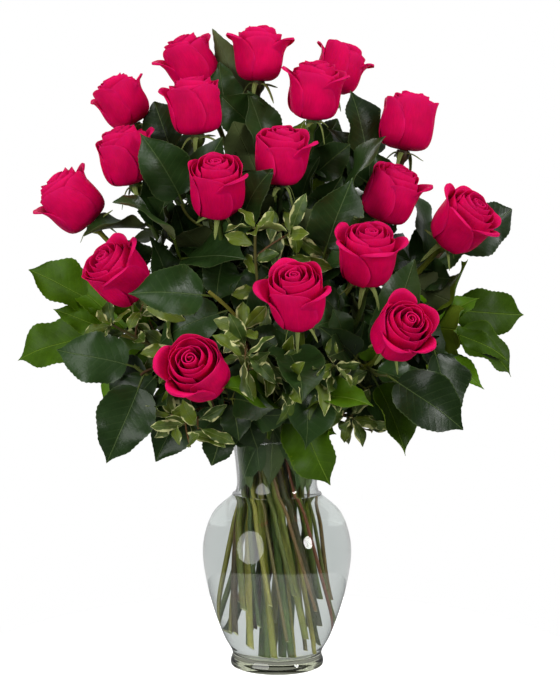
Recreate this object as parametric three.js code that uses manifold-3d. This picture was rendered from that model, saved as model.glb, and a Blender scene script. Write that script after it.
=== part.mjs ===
// Eighteen long-stemmed roses with broad-leaved greens and small variegated twigs, standing in a clear
// glass vase with a round belly and a narrow neck. Millimetres. The origin is the middle of the vase's
// foot, on the table; +Z is up, +X is to the right and -Y points towards somebody facing the flowers.
import * as THREE from "three";
import { mergeVertices } from "three/addons/utils/BufferGeometryUtils.js";
import Module from "manifold-3d";

const wasm = await Module();
wasm.setup();

// ---------------------------------------------------------------- driving dimensions

const SEAT_GAP = 0.3; // between pieces that touch
const CLEARANCE = 0.45; // least distance between pieces that pass each other
const LEAF_GAP = 0.05; // least distance between two leaves of one stem
const FINEST_EDGE = 0.1; // shorter edges, left where pieces are fused, are closed up

const VASE_SIDES = 18;
const VASE_HEIGHT = 231;
const VASE_FLOOR = 12; // top of the thick glass foot
const NECK_HEIGHT = 182; // where the vase is narrowest
const NECK_REACH = 33.2; // furthest that a stem's middle stands from the axis there
// Radius and height of the glass: a spreading foot, a full belly, a hard shoulder and a flared neck.
const VASE_OUTSIDE = [
  [44, 0], [47, 5], [45, VASE_FLOOR + 1], [54, 31], [68, 72], [75, 114], [72, 137],
  [63.5, 156.5], [43, 175.5], [40.6, NECK_HEIGHT], [41.5, 203], [45, VASE_HEIGHT],
];
const VASE_INSIDE = [
  [36, VASE_FLOOR], [43, 17], [51.5, 33], [65, 72.5], [72, 114], [69, 136],
  [61, 154], [40, 177.6], [37.7, NECK_HEIGHT], [38.6, 203], [42, VASE_HEIGHT],
];
const WATER_LEVEL = 174;

const ROSE_STEM_SIDES = 5;
const THIN_STEM_SIDES = 4;
const STEM_SPIRAL = 0.009; // sideways run of a stem for each millimetre down, over its distance from the axis
const SPIRAL_LEAD = Math.PI / 4; // how far round a stem passes the neck ahead of where it leans to
const STEM_EXIT = 238; // just above the rim, where a stem starts to bend
const FOOT_LIFT = [-20, 55]; // most stems are cut shorter by up to the second of these, the others reach down
const STEM_SPOTS = [0, 0.36, 0.7, 1]; // places of a stem's rings above the vase, along its curve
const STEM_TAPER = 0.15; // share of its radius that a stem loses above the vase
const ROSE_STEM_RADIUS = 3;
const GREEN_STEM_RADIUS = 2;
const TWIG_RADIUS = 1.5;

const BLOOM_SIDES = 15; // three for each of five petals
const HIP_LENGTH = 15; // green cup under a bloom
const HIP_RADIUS = 7.2;
const HIP_RINGS = [ // distance above the stem's end, and radius
  [HIP_LENGTH - 9, HIP_RADIUS * 0.8], [HIP_LENGTH - 3, HIP_RADIUS], [HIP_LENGTH - SEAT_GAP, HIP_RADIUS * 0.9],
];
const SEPAL = { below: 4.5, length: 25 }; // rooted this far below the bloom

// Where each bloom's middle is, how far it leans to the right and nods to the viewer (degrees), its size
// beside a bloom 58 high and 57 across, and how far it is open, from a tight bud at 0 to full at 1.
const ROSES = [
  { at: [-90, 52, 612], lean: -25, nod: 12, size: 0.96, open: 0.55 },
  { at: [-18, 34, 618], lean: 2, nod: 0, size: 0.96, open: 0.4 },
  { at: [66, 78, 609], lean: 22, nod: -8, size: 0.9, open: 0.9 },
  { at: [38, 2, 578], lean: 4, nod: 14, size: 1.0, open: 0.4 },
  { at: [-159, 50, 572], lean: -27, nod: 5, size: 0.92, open: 0.35 },
  { at: [-82, 0, 563], lean: -6, nod: 8, size: 1.0, open: 0.5 },
  { at: [-151, 6, 514], lean: -17, nod: 12, size: 1.01, open: 0.45 },
  { at: [5, -45, 511], lean: 3, nod: 18, size: 0.96, open: 0.3 },
  { at: [133, 30, 550], lean: 9, nod: 2, size: 1.04, open: 0.6 },
  { at: [-57, -75, 480], lean: -3, nod: 32, size: 1.0, open: 0.3 },
  { at: [113, -25, 475], lean: 20, nod: 15, size: 0.98, open: 0.45 },
  { at: [-208, 15, 469], lean: -42, nod: 8, size: 1.06, open: 0.4 },
  { at: [182, -30, 447], lean: 38, nod: 30, size: 1.02, open: 0.5 },
  { at: [86, -95, 415], lean: 4, nod: 28, size: 1.0, open: 0.7 },
  { at: [-153, -60, 397], lean: -42, nod: 32, size: 1.03, open: 0.6 },
  { at: [18, -130, 377], lean: -8, nod: 36, size: 1.02, open: 0.8 },
  { at: [116, -115, 344], lean: 32, nod: 52, size: 0.96, open: 0.6 },
  { at: [-73, -140, 310], lean: -25, nod: 58, size: 1.02, open: 0.85 },
];
const BLOOM_HEIGHT = 58;
const PETAL_LAP = 1.3; // how far a petal's one edge lies outside its middle, and the other inside
const PETAL_WANDER = 0.6; // how far the petals' corners stray

// Sprays of broad leaves. Each stem has two or three arms; an arm ends where its last leaf starts, and points
// that way.
const GREENS = [
  { tone: "bright", arms: [
    { end: [-180, -10, 342], way: [-1, -0.1, -0.33] }, { end: [-176, 5, 364], way: [-0.88, -0.1, 0.45] },
  ] },
  { tone: "deep", arms: [
    { end: [-138, -62, 308], way: [-0.95, -0.1, 0.28] }, { end: [-130, -78, 300], way: [-0.35, -0.25, -0.9] },
  ] },
  { tone: "bright", arms: [
    { end: [180, 0, 345], way: [0.85, 0, -0.5] }, { end: [172, 25, 362], way: [0.95, 0.1, -0.1] },
  ] },
  { tone: "deep", arms: [
    { end: [156, -50, 328], way: [0.3, -0.2, -0.93] }, { end: [105, -85, 300], way: [0.8, -0.25, -0.5] },
  ] },
  { tone: "bright", arms: [
    { end: [15, -72, 274], way: [0.45, -0.35, -0.82] }, { end: [97, -64, 298], way: [0.45, -0.1, -0.85] },
  ] },
  { tone: "deep", arms: [
    { end: [96, 30, 512], way: [-0.2, 0, 1] }, { end: [-10, 25, 515], way: [-0.35, 0, 0.9] },
    { end: [62, -10, 465], way: [0.5, -0.4, 0.8] },
  ] },
  { tone: "deep", arms: [
    { end: [-52, 40, 560], way: [-0.15, 0.05, 1] }, { end: [-108, 25, 515], way: [-0.42, 0, 0.9] },
    { end: [-95, -5, 465], way: [-0.4, -0.4, 0.85] },
  ] },
  { tone: "deep", arms: [
    { end: [176, 20, 428], way: [0.85, 0.1, 0.4] }, { end: [130, 20, 400], way: [0.7, -0.3, 0.5] },
  ] },
  { tone: "deep", arms: [
    { end: [-134, 20, 446], way: [-1, 0, 0.1] }, { end: [-100, -40, 430], way: [-0.4, -0.6, 0.5] },
    { end: [-40, -40, 432], way: [0.3, -0.5, 0.8] },
  ] },
  { tone: "deep", arms: [
    { end: [-60, 118, 430], way: [-0.4, 0.8, 0.4] }, { end: [-115, 108, 330], way: [-0.6, 0.75, -0.2] },
    { end: [-110, 95, 490], way: [-0.5, 0.6, 0.7] },
  ] },
  { tone: "bright", arms: [
    { end: [60, 128, 400], way: [0.3, 0.9, 0.2] }, { end: [120, 110, 325], way: [0.6, 0.7, -0.3] },
    { end: [10, 115, 490], way: [0.1, 0.6, 0.8] },
  ] },
  { tone: "deep", arms: [
    { end: [10, 130, 310], way: [0.1, 0.9, -0.35] }, { end: [-50, 105, 275], way: [-0.4, 0.7, -0.6] },
  ] },
  { tone: "deep", arms: [
    { end: [-64, -92, 380], way: [-0.75, -0.35, 0.1] }, { end: [26, -98, 325], way: [0.05, -0.3, -0.95] },
    { end: [48, -62, 415], way: [0.3, -0.4, 0.85] },
  ] },
  { tone: "deep", arms: [
    { end: [-62, -62, 300], way: [-0.15, -0.45, -0.8] }, { end: [55, 80, 290], way: [0.4, 0.8, -0.2] },
  ] },
];
const GREEN_LEAF = {
  length: 86, width: 56, thickness: 1.6, spacing: 35, stations: [[0.16, 0.06], [0.46, 1], [0.8, 0.62]],
};
const LEAVES_PER_ARM = 3; // beside the one at its end
const ARM_FORKS = [null, 0.42, 0.55]; // where along the first arm the second and the third one leave it
const ARM_SPOTS = [0, 0.5, 1]; // places of its rings along its curve
const END_PLACE = 0.96; // where along an arm the leaf at its end is rooted

// Twigs of small cream-edged leaves, each with a whorl at its tip.
const TWIGS = [
  { end: [53, -112, 312], way: [0.2, -0.9, 0.1] },
  { end: [-20, -92, 440], way: [0.1, -0.8, 0.6] },
  { end: [-100, -85, 262], way: [-0.4, -0.5, -0.6] },
  { end: [-32, -108, 345], way: [-0.2, -0.9, 0.3] },
  { end: [72, -62, 258], way: [0.4, -0.5, -0.5] },
  { end: [-160, -58, 348], way: [-0.8, -0.5, 0] },
  { end: [30, 118, 470], way: [0.1, 0.7, 0.7] },
];
const TWIG_LEAF = {
  length: 31, width: 14, thickness: 1.3, whorl: 5, count: 9, stations: [[0.34, 0.5], [0.7, 1]],
};

// Three leaflets on a stalk, a little below each bloom.
const ROSE_LEAF = {
  length: 80, width: 40, thickness: 1.6, place: 0.62, stations: [[0.34, 0.05], [0.6, 1], [0.84, 0.66]],
};
const ROSE_PAIR = { place: 0.8, length: 0.55, width: 0.85, slant: 1.7, stations: [[0.2, 0.6], [0.6, 1]] };

const STEM_TRIES = 90;
const LEAF_TRIES = 27;
const SEED = { foot: 500, sepals: 700, greens: 2000, roseLeaves: 5000, twigs: 7000 }; // for the random draws

// ---------------------------------------------------------------- small helpers

const vector = (p) => new THREE.Vector3(p[0], p[1], p[2]);
const radians = THREE.MathUtils.degToRad;
const UP = new THREE.Vector3(0, 0, 1);
const GOLDEN_ANGLE = 2.39996;

// A repeatable number from 0 to 1 for each whole number.
function chance(n) {
  const s = Math.sin(n * 12.9898 + 4.1414) * 43758.5453;
  return s - Math.floor(s);
}

function spread(n, low, high) {
  return low + (high - low) * chance(n);
}

// A solid from its corners and triangles.
function solidOf(corners, triangles) {
  const made = new wasm.Manifold(new wasm.Mesh({
    numProp: 3,
    vertProperties: new Float32Array(corners.flatMap((c) => [c.x, c.y, c.z])),
    triVerts: new Uint32Array(triangles.flat()),
  }));
  if (made.volume() > 0) return made;
  return new wasm.Manifold(new wasm.Mesh({
    numProp: 3,
    vertProperties: new Float32Array(corners.flatMap((c) => [c.x, c.y, c.z])),
    triVerts: new Uint32Array(triangles.map(([a, b, c]) => [a, c, b]).flat()),
  }));
}

// A solid from one of three.js's own geometries.
function solidOfGeometry(geometry) {
  const bare = geometry.clone();
  bare.deleteAttribute("normal");
  bare.deleteAttribute("uv");
  const merged = mergeVertices(bare, 1e-3);
  const place = merged.getAttribute("position");
  const corners = [];
  for (let i = 0; i < place.count; i++) corners.push(new THREE.Vector3().fromBufferAttribute(place, i));
  const triangles = [];
  const index = merged.index.array;
  for (let i = 0; i < index.length; i += 3) {
    const [a, b, c] = [index[i], index[i + 1], index[i + 2]];
    if (a !== b && b !== c && c !== a) triangles.push([a, b, c]);
  }
  return solidOf(corners, triangles);
}

function geometryOf(solid) {
  const mesh = solid.getMesh();
  const corners = new Float32Array(mesh.numVert * 3);
  for (let i = 0; i < mesh.numVert; i++) {
    corners.set(mesh.vertProperties.subarray(i * mesh.numProp, i * mesh.numProp + 3), i * 3);
  }
  return new THREE.BufferGeometry()
    .setAttribute("position", new THREE.BufferAttribute(corners, 3))
    .setIndex(new THREE.BufferAttribute(new Uint32Array(mesh.triVerts), 1));
}

function largestBody(solid) {
  return solid.decompose().reduce((best, body) => (body.volume() > best.volume() ? body : best));
}

// One body of several that meet. A tiny hollow that they seal is filled. One that meets nothing is an error.
function fuse(solids) {
  const whole = wasm.Manifold.union(solids);
  const body = largestBody(whole);
  if (Math.abs(whole.volume() - body.volume()) > 1) throw new Error("a piece meets nothing");
  return body.simplify(FINEST_EDGE);
}

// ---------------------------------------------------------------- keeping pieces clear of each other

const settled = []; // every solid placed so far, with its box

function settle(solid) {
  settled.push({ solid, box: solid.boundingBox() });
  return solid;
}

// Whether a solid keeps clear of the rest. `nearer` maps the ones that it may come nearer to, and how near.
function isClear(solid, nearer) {
  const box = solid.boundingBox();
  const close = settled.filter((other) => [0, 1, 2].every((i) =>
    box.min[i] - CLEARANCE < other.box.max[i] && other.box.min[i] - CLEARANCE < box.max[i]));
  return close.every((other) => {
    const least = nearer.get(other.solid) ?? CLEARANCE;
    return least === 0 || solid.minGap(other.solid, 1) >= least;
  });
}

// The first of the numbered tries that is clear of everything placed so far, or null.
function firstClear(tries, nearer, make) {
  for (let attempt = 0; attempt < tries; attempt++) {
    const made = make(attempt);
    if (isClear(made.solid, nearer)) return made;
  }
  return null;
}

// ---------------------------------------------------------------- vase and water

function turned(profile) {
  const points = profile.map(([radius, height]) => new THREE.Vector2(radius, height));
  return solidOfGeometry(new THREE.LatheGeometry(points, VASE_SIDES).rotateX(Math.PI / 2));
}

function vaseSolid() {
  return turned([[0, 0], ...VASE_OUTSIDE, ...[...VASE_INSIDE].reverse(), [0, VASE_FLOOR]]);
}

// Radius of the glass's inner face at a height. The faceted wall lies a little nearer than its corners.
function insideRadius(height) {
  const i = Math.max(1, VASE_INSIDE.findIndex(([, z]) => z >= height));
  const [[r0, z0], [r1, z1]] = [VASE_INSIDE[i - 1], VASE_INSIDE[i]];
  return (r0 + ((r1 - r0) * (height - z0)) / (z1 - z0)) * Math.cos(Math.PI / VASE_SIDES);
}

function waterProfile() {
  const side = VASE_INSIDE.filter(([, z]) => z < WATER_LEVEL).map(([r, z]) => [r - SEAT_GAP, z + SEAT_GAP]);
  const edge = insideRadius(WATER_LEVEL) / Math.cos(Math.PI / VASE_SIDES) - SEAT_GAP;
  return [[0, VASE_FLOOR + SEAT_GAP], ...side, [edge, WATER_LEVEL], [0, WATER_LEVEL]];
}

// ---------------------------------------------------------------- stems

// Where the stems pass the neck: evenly over a disc, as sunflower seeds lie.
function neckPlaces(count) {
  return Array.from({ length: count }, (_, i) => {
    const radius = NECK_REACH * Math.sqrt((i + 0.5) / count);
    return [radius * Math.cos(i * GOLDEN_ANGLE), radius * Math.sin(i * GOLDEN_ANGLE)];
  });
}

// Gives each stem the free place nearest to the one that suits its lean; the widest-leaning choose first.
function shareNeck(ends) {
  const free = neckPlaces(ends.length);
  const reach = ends.map(([x, y, z]) => Math.hypot(x, y) / (z - NECK_HEIGHT + 60));
  const order = ends.map((_, i) => i).sort((a, b) => reach[b] - reach[a]);
  const chosen = [];
  order.forEach((i, rank) => {
    const radius = NECK_REACH * Math.sqrt((ends.length - rank - 0.5) / ends.length);
    const angle = Math.atan2(ends[i][1], ends[i][0]) + SPIRAL_LEAD;
    const [wishX, wishY] = [radius * Math.cos(angle), radius * Math.sin(angle)];
    const misses = free.map(([x, y]) => Math.hypot(x - wishX, y - wishY));
    chosen[i] = free.splice(misses.indexOf(Math.min(...misses)), 1)[0];
  });
  return chosen;
}

// Inside the vase the stems are straight and lean round the axis, all the same way, so that none meet.
function stemPoint([x, y], height) {
  const run = STEM_SPIRAL * (NECK_HEIGHT - height);
  return new THREE.Vector3(x - run * y, y + run * x, height);
}

function stemWay([x, y]) {
  return new THREE.Vector3(STEM_SPIRAL * y, -STEM_SPIRAL * x, 1).normalize();
}

// The lowest place of a stem's cut end: on the glass, or a little above it for the shorter ones.
function footHeight(place, radius, seed) {
  const room = radius + SEAT_GAP + 0.9;
  let height = VASE_FLOOR + SEAT_GAP + 0.25 * radius + 0.6;
  const reach = (z) => Math.hypot(stemPoint(place, z).x, stemPoint(place, z).y);
  while (reach(height) + room > insideRadius(height)) height += 1;
  return height + Math.max(0, spread(seed, ...FOOT_LIFT));
}

// A round bar through rings, each given as its middle, its direction and its radius. `spike` gives a point
// for each side of the last stretch, which that side is drawn out to.
function tubeSolid(rings, sides, spike = null) {
  let side = new THREE.Vector3(1, 0, 0);
  const corners = rings.flatMap(([middle, way, radius]) => {
    side = side.clone().addScaledVector(way, -side.dot(way)).normalize();
    const across = new THREE.Vector3().crossVectors(way, side);
    return Array.from({ length: sides }, (_, k) => {
      const angle = (2 * Math.PI * k) / sides;
      return middle.clone()
        .addScaledVector(side, radius * Math.cos(angle))
        .addScaledVector(across, radius * Math.sin(angle));
    });
  });
  const triangles = [];
  const top = (rings.length - 1) * sides;
  for (let a = 0; a < top; a++) {
    const b = a % sides === sides - 1 ? a - sides + 1 : a + 1;
    if (spike && a >= top - sides) {
      const round = corners[a].clone().add(corners[b]).multiplyScalar(0.5).sub(rings.at(-2)[0]).normalize();
      const tip = corners.push(spike(a % sides, round)) - 1;
      triangles.push([a, b, tip], [b, b + sides, tip], [b + sides, a + sides, tip], [a + sides, a, tip]);
    } else {
      triangles.push([a, b, b + sides], [a, b + sides, a + sides]);
    }
  }
  for (let k = 1; k + 1 < sides; k++) triangles.push([0, k + 1, k], [top, top + k, top + k + 1]);
  return solidOf(corners, triangles);
}

function bend(from, fromWay, to, toWay, bulge) {
  const handle = 0.38 * from.distanceTo(to);
  const first = from.clone().addScaledVector(fromWay, handle).add(bulge);
  const second = to.clone().addScaledVector(toWay, -handle).addScaledVector(bulge, 0.5);
  return new THREE.CubicBezierCurve3(from, first, second, to);
}

// Each further try swings the stem further out of its straight way.
function bulgeOf(attempt, from, to) {
  const along = to.clone().sub(from).normalize();
  const side = new THREE.Vector3(-along.y, along.x, 0).normalize();
  const other = new THREE.Vector3().crossVectors(along, side);
  const size = 6 * Math.sqrt(attempt);
  const angle = attempt * GOLDEN_ANGLE;
  return side.multiplyScalar(size * Math.cos(angle)).addScaledVector(other, size * Math.sin(angle));
}

// A stem from its cut end to `end`, arriving along `way`. `tail` adds rings beyond it: [distance, radius].
function stemAt({ sides, place, foot, end, way, radius, tail, spike }, attempt) {
  const exit = stemPoint(place, STEM_EXIT);
  const start = stemWay(place);
  const curve = bend(exit, start, end, way, bulgeOf(attempt, exit, end));
  const rings = [
    [stemPoint(place, foot), start, radius],
    ...STEM_SPOTS.map((t) => [curve.getPoint(t), curve.getTangent(t), radius * (1 - STEM_TAPER * t)]),
    ...tail.map(([distance, tailRadius]) => [end.clone().addScaledVector(way, distance), way, tailRadius]),
  ];
  return { curve, solid: tubeSolid(rings, sides, spike) };
}

// A further arm of a spray, from its fork to its own end.
function armAt({ curve: first }, { fork, end, way }, attempt) {
  const from = barPoint({ curve: first, spots: STEM_SPOTS }, fork);
  const curve = bend(from, first.getTangent(fork), end, armWay(way), bulgeOf(attempt, from, end));
  const radius = (t) => GREEN_STEM_RADIUS * (0.85 - STEM_TAPER * t);
  const rings = ARM_SPOTS.map((t) => [curve.getPoint(t), curve.getTangent(t), radius(t)]);
  return { curve, solid: tubeSolid(rings, THIN_STEM_SIDES) };
}

// The point of a bar's straight stretches that lies at a place along its curve.
function barPoint({ curve, spots }, place) {
  const i = spots.findIndex((spot, k) => k > 0 && spot >= place);
  const share = (place - spots[i - 1]) / (spots[i] - spots[i - 1]);
  return curve.getPoint(spots[i - 1]).lerp(curve.getPoint(spots[i]), share);
}

// The hole that a stem fills in the water.
function stemHole({ sides, place, foot, radius }) {
  const way = stemWay(place);
  const wide = radius + SEAT_GAP / Math.cos(Math.PI / sides);
  return tubeSolid([foot - SEAT_GAP, WATER_LEVEL + 6].map((z) => [stemPoint(place, z), way, wide]), sides);
}

// ---------------------------------------------------------------- leaves

// A thin blade, thickest along its rib and sharp at its edge. `stations` are [along, half width] pairs.
// Its stalk is rooted at `seat`, which lies in what carries it, and `root` is where it starts to its shape.
function blade({ root, seat = root, way, face, length, width, thickness, droop, fold, stations, wave = 0 }) {
  const out = face.clone().addScaledVector(way, -face.dot(way)).normalize();
  const side = new THREE.Vector3().crossVectors(way, out);
  const rib = (t) => root.clone()
    .addScaledVector(way, length * t)
    .addScaledVector(out, -droop * length * t * t);
  const tip = rib(1);
  const corners = [seat, tip];
  stations.forEach(([t, half], i) => {
    const middle = rib(t);
    const lift = fold * half * width;
    const ripple = wave * width * (i % 2 ? 1 : -1);
    corners.push(
      middle.clone().addScaledVector(out, thickness / 2),
      middle.clone().addScaledVector(out, -thickness / 2),
      middle.clone().addScaledVector(side, (half * width) / 2).addScaledVector(out, lift + ripple),
      middle.clone().addScaledVector(side, (-half * width) / 2).addScaledVector(out, lift - ripple),
    );
  });
  const [TOP, BOTTOM, RIGHT, LEFT] = [0, 1, 2, 3];
  const at = (i, part) => 2 + 4 * i + part;
  const last = stations.length - 1;
  const triangles = [];
  for (const [face3, flip] of [[TOP, false], [BOTTOM, true]]) {
    for (const [edge, mirrored] of [[RIGHT, false], [LEFT, true]]) {
      const wanted = flip !== mirrored;
      const add = (a, b, c) => triangles.push(wanted ? [a, c, b] : [a, b, c]);
      add(0, at(0, edge), at(0, face3));
      for (let i = 0; i < last; i++) {
        add(at(i, face3), at(i, edge), at(i + 1, edge));
        add(at(i, face3), at(i + 1, edge), at(i + 1, face3));
      }
      add(at(last, face3), at(last, edge), 1);
    }
  }
  return { tip, stalk: rib(stations[0][0]), solid: solidOf(corners, triangles) };
}

const HEART = new THREE.Vector3(0, 0, 330); // leaves turn their upper faces away from here
const BACK_HALF = 45; // leaves from here back turn to the back, the others to the front

function leafFace(point, twist, way) {
  const out = point.clone().sub(HEART).normalize().addScaledVector(UP, 0.35);
  out.y += point.y < BACK_HALF ? -0.8 : 0.8;
  return out.applyAxisAngle(way, twist);
}

// 0, 1, -1, 2, -2 and so on, for tries that go to both sides in turn.
function swing(attempt) {
  return Math.ceil(attempt / 2) * (attempt % 2 ? 1 : -1);
}

// A leaf beside a stem. Each further try turns it round the stem, then makes it smaller.
function sideLeafShape(bar, place, seed, turn, attempt, leaf) {
  const root = bar.curve.getPoint(place);
  const along = bar.curve.getTangent(place);
  const outward = root.clone().sub(HEART).projectOnPlane(along).normalize();
  const angle = turn + radians(28) * swing(attempt);
  const round = outward.applyAxisAngle(along, angle);
  const open = radians(spread(seed, 48, 68));
  const way = along.multiplyScalar(Math.cos(open)).addScaledVector(round, Math.sin(open));
  const size = spread(seed + 1, 0.82, 1.06) * (attempt < 9 ? 1 : attempt < 18 ? 0.8 : 0.62);
  return {
    root,
    seat: barPoint(bar, place),
    way,
    face: leafFace(root, radians(spread(seed + 2, -22, 22)), way),
    length: leaf.length * size,
    width: leaf.width * size,
    thickness: leaf.thickness,
    stations: leaf.stations,
    droop: spread(seed + 3, 0.05, 0.26),
    fold: spread(seed + 4, 0.05, 0.14),
    wave: spread(seed + 5, 0, 0.03),
  };
}

// The leaf at an arm's end carries on where the arm points.
function endLeafShape(arm, attempt, leaf) {
  const { way, seed } = arm;
  const root = barPoint(arm, END_PLACE);
  const turned = way.clone().applyAxisAngle(UP, radians(9) * swing(attempt));
  const size = spread(seed + 1, 0.9, 1.08) * (attempt < 9 ? 1 : 0.8);
  return {
    root,
    way: turned,
    face: leafFace(root, radians(spread(seed + 2, -15, 15)), turned),
    length: leaf.length * size,
    width: leaf.width * size,
    thickness: leaf.thickness,
    stations: leaf.stations,
    droop: spread(seed + 3, 0.03, 0.14),
    fold: spread(seed + 4, 0.05, 0.14),
    wave: spread(seed + 5, 0, 0.03),
  };
}

// A rose leaf: a stalked leaflet, with a pair of smaller ones on its stalk.
function roseLeaf(bar, seed, attempt) {
  const shape = sideLeafShape(bar, ROSE_LEAF.place, seed, 2 * Math.PI * chance(seed + 7), attempt, ROSE_LEAF);
  const end = blade(shape);
  const side = new THREE.Vector3().crossVectors(shape.way, shape.face).normalize();
  const root = shape.seat.clone().lerp(end.stalk, ROSE_PAIR.place);
  const pair = [1, -1].map((turn) => blade({
    ...shape,
    root,
    seat: root,
    way: shape.way.clone().addScaledVector(side, ROSE_PAIR.slant * turn).normalize(),
    length: shape.length * ROSE_PAIR.length,
    width: shape.width * ROSE_PAIR.width,
    droop: spread(seed + 10 + turn, 0.08, 0.25),
    stations: ROSE_PAIR.stations,
  }));
  return { solid: fuse([end.solid, ...pair.map(({ solid }) => solid)]) };
}

// ---------------------------------------------------------------- blooms

// The way in which a spray's stem arrives: less steeply down than its leaf hangs.
function armWay(way) {
  return way.clone().normalize().addScaledVector(UP, 0.6).normalize();
}

function axisOf({ lean, nod }) {
  const [a, b] = [radians(lean), radians(nod)];
  return new THREE.Vector3(Math.sin(a) * Math.cos(b), -Math.sin(b), Math.cos(a) * Math.cos(b));
}

function bloomBase(rose) {
  return vector(rose.at).addScaledVector(axisOf(rose), (-BLOOM_HEIGHT / 2) * rose.size);
}

// One closed surface that runs up the outside of the cup, over the rolled lips, down into the gap behind
// them and up over each inner layer to the bud. A layer's petals are its lobes: [layer, crest, dip],
// where crest and dip are the radius and height in the middle of a petal and where two petals meet.
function bloomRings(open) {
  return [
    [5, [7.5, 0], [7.5, 0]],
    [5, [20.5, 7], [19.5, 7]],
    [5, [28.5, 24], [26.5, 24]],
    [5, [31.5 + 7 * open, 45 - 3 * open], [26 + 2 * open, 46]],
    [5, [29.5 + 5 * open, 52.5 - 1.5 * open], [24 + 2 * open, 51]],
    [5, [21 + 3 * open, 43], [20 + 3 * open, 42]],
    [-5, [19.5 + 3 * open, 57 - 2 * open], [16 + 3 * open, 53.5]],
    [-5, [12.5 + 2 * open, 47], [12 + 2 * open, 46]],
    [3, [10 + open, 59.5 - open], [7.5 + open, 56]],
  ];
}

function bloomSolid(rose, index) {
  const axis = axisOf(rose);
  const base = bloomBase(rose);
  const side = new THREE.Vector3(1, 0, 0).addScaledVector(axis, -axis.x).normalize();
  const other = new THREE.Vector3().crossVectors(axis, side);
  const start = 2 * Math.PI * chance(index + 11);
  const local = (radius, angle, height) => base.clone()
    .addScaledVector(side, rose.size * radius * Math.cos(angle))
    .addScaledVector(other, rose.size * radius * Math.sin(angle))
    .addScaledVector(axis, rose.size * height);
  const corners = [local(0, 0, 0)];
  const rings = bloomRings(rose.open);
  rings.forEach(([layer, crest, dip], ring) => {
    const perPetal = BLOOM_SIDES / Math.abs(layer);
    const shift = layer < 0 ? perPetal / 2 : 0;
    const lap = ring === 0 ? 0 : PETAL_LAP;
    for (let k = 0; k < BLOOM_SIDES; k++) {
      const across = Math.min(1, ((k + shift) % perPetal) / (perPetal - 1)) * 2 - 1; // -1 to 1 over a petal
      const middle = 1 - Math.abs(across);
      const radius = dip[0] + (crest[0] - dip[0]) * middle + lap * across;
      const height = dip[1] + (crest[1] - dip[1]) * middle;
      const wander = ring === 0 ? 0 : spread(index * 97 + ring * 17 + k, -PETAL_WANDER, PETAL_WANDER);
      corners.push(local(radius + wander, start + (2 * Math.PI * k) / BLOOM_SIDES, height + wander));
    }
  });
  corners.push(local(0, 0, 51));
  const triangles = [];
  const corner = (ring, k) => 1 + ring * BLOOM_SIDES + (k % BLOOM_SIDES);
  for (let k = 0; k < BLOOM_SIDES; k++) {
    triangles.push([0, corner(0, k + 1), corner(0, k)]);
    triangles.push([corners.length - 1, corner(rings.length - 1, k), corner(rings.length - 1, k + 1)]);
    for (let ring = 0; ring + 1 < rings.length; ring++) {
      triangles.push([corner(ring, k), corner(ring, k + 1), corner(ring + 1, k + 1)]);
      triangles.push([corner(ring, k), corner(ring + 1, k + 1), corner(ring + 1, k)]);
    }
  }
  return solidOf(corners, triangles);
}

// The tip of one of the five sepals, bent back under the bloom. `round` is the way that it leaves the hip.
function sepalTip(rose, seed, round) {
  const axis = axisOf(rose);
  const way = round.clone().addScaledVector(axis, spread(seed, -1.2, -0.45)).normalize();
  const length = SEPAL.length * spread(seed + 9, 0.8, 1.15);
  return bloomBase(rose).addScaledVector(axis, -SEPAL.below).addScaledVector(way, length);
}

// ---------------------------------------------------------------- putting the bunch together

const matte = (name, color, roughness) =>
  new THREE.MeshStandardMaterial({ name, color, roughness, metalness: 0 });
const petalRed = matte("petal_red", 0xc4004a, 0.62);
const roseGreen = matte("rose_green", 0x2f4a24, 0.5);
const deepLeaf = matte("deep_leaf", 0x24381c, 0.42);
const brightLeaf = matte("bright_leaf", 0x42700f, 0.48);
const creamLeaf = matte("cream_edged_leaf", 0x6d8034, 0.5);
const clearGlass = new THREE.MeshStandardMaterial({
  name: "clear_glass", color: 0xf2f6f6, roughness: 0.05, metalness: 0, transparent: true, opacity: 0.35,
});
const clearWater = new THREE.MeshStandardMaterial({
  name: "clear_water", color: 0xe6efee, roughness: 0.03, metalness: 0, transparent: true, opacity: 0.35,
});

const bunch = new THREE.Group();

function addPiece(name, solid, material) {
  const mesh = new THREE.Mesh(geometryOf(solid), material);
  mesh.name = name;
  bunch.add(mesh);
}

const label = (kind, i) => `${kind}_${String(i + 1).padStart(2, "0")}`;

const vase = settle(vaseSolid());
const blooms = ROSES.map((rose, i) => settle(bloomSolid(rose, i)));

// Every stem, in the order in which it is placed: roses, broad greens, twigs.
const roseStems = ROSES.map((rose, i) => ({
  sides: ROSE_STEM_SIDES,
  radius: ROSE_STEM_RADIUS,
  end: bloomBase(rose).addScaledVector(axisOf(rose), -HIP_LENGTH),
  way: axisOf(rose),
  tail: HIP_RINGS,
  bloom: blooms[i],
  spike: (k, round) => sepalTip(rose, SEED.sepals + 20 * i + k, round),
}));
const greenStems = GREENS.map(({ arms: [{ end, way }] }) => ({
  sides: THIN_STEM_SIDES, radius: GREEN_STEM_RADIUS, end: vector(end), way: armWay(vector(way)), tail: [],
}));
const twigStems = TWIGS.map(({ end, way }) => ({
  sides: THIN_STEM_SIDES, radius: TWIG_RADIUS, end: vector(end), way: armWay(vector(way)), tail: [],
}));
const stems = [...roseStems, ...greenStems, ...twigStems];

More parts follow.
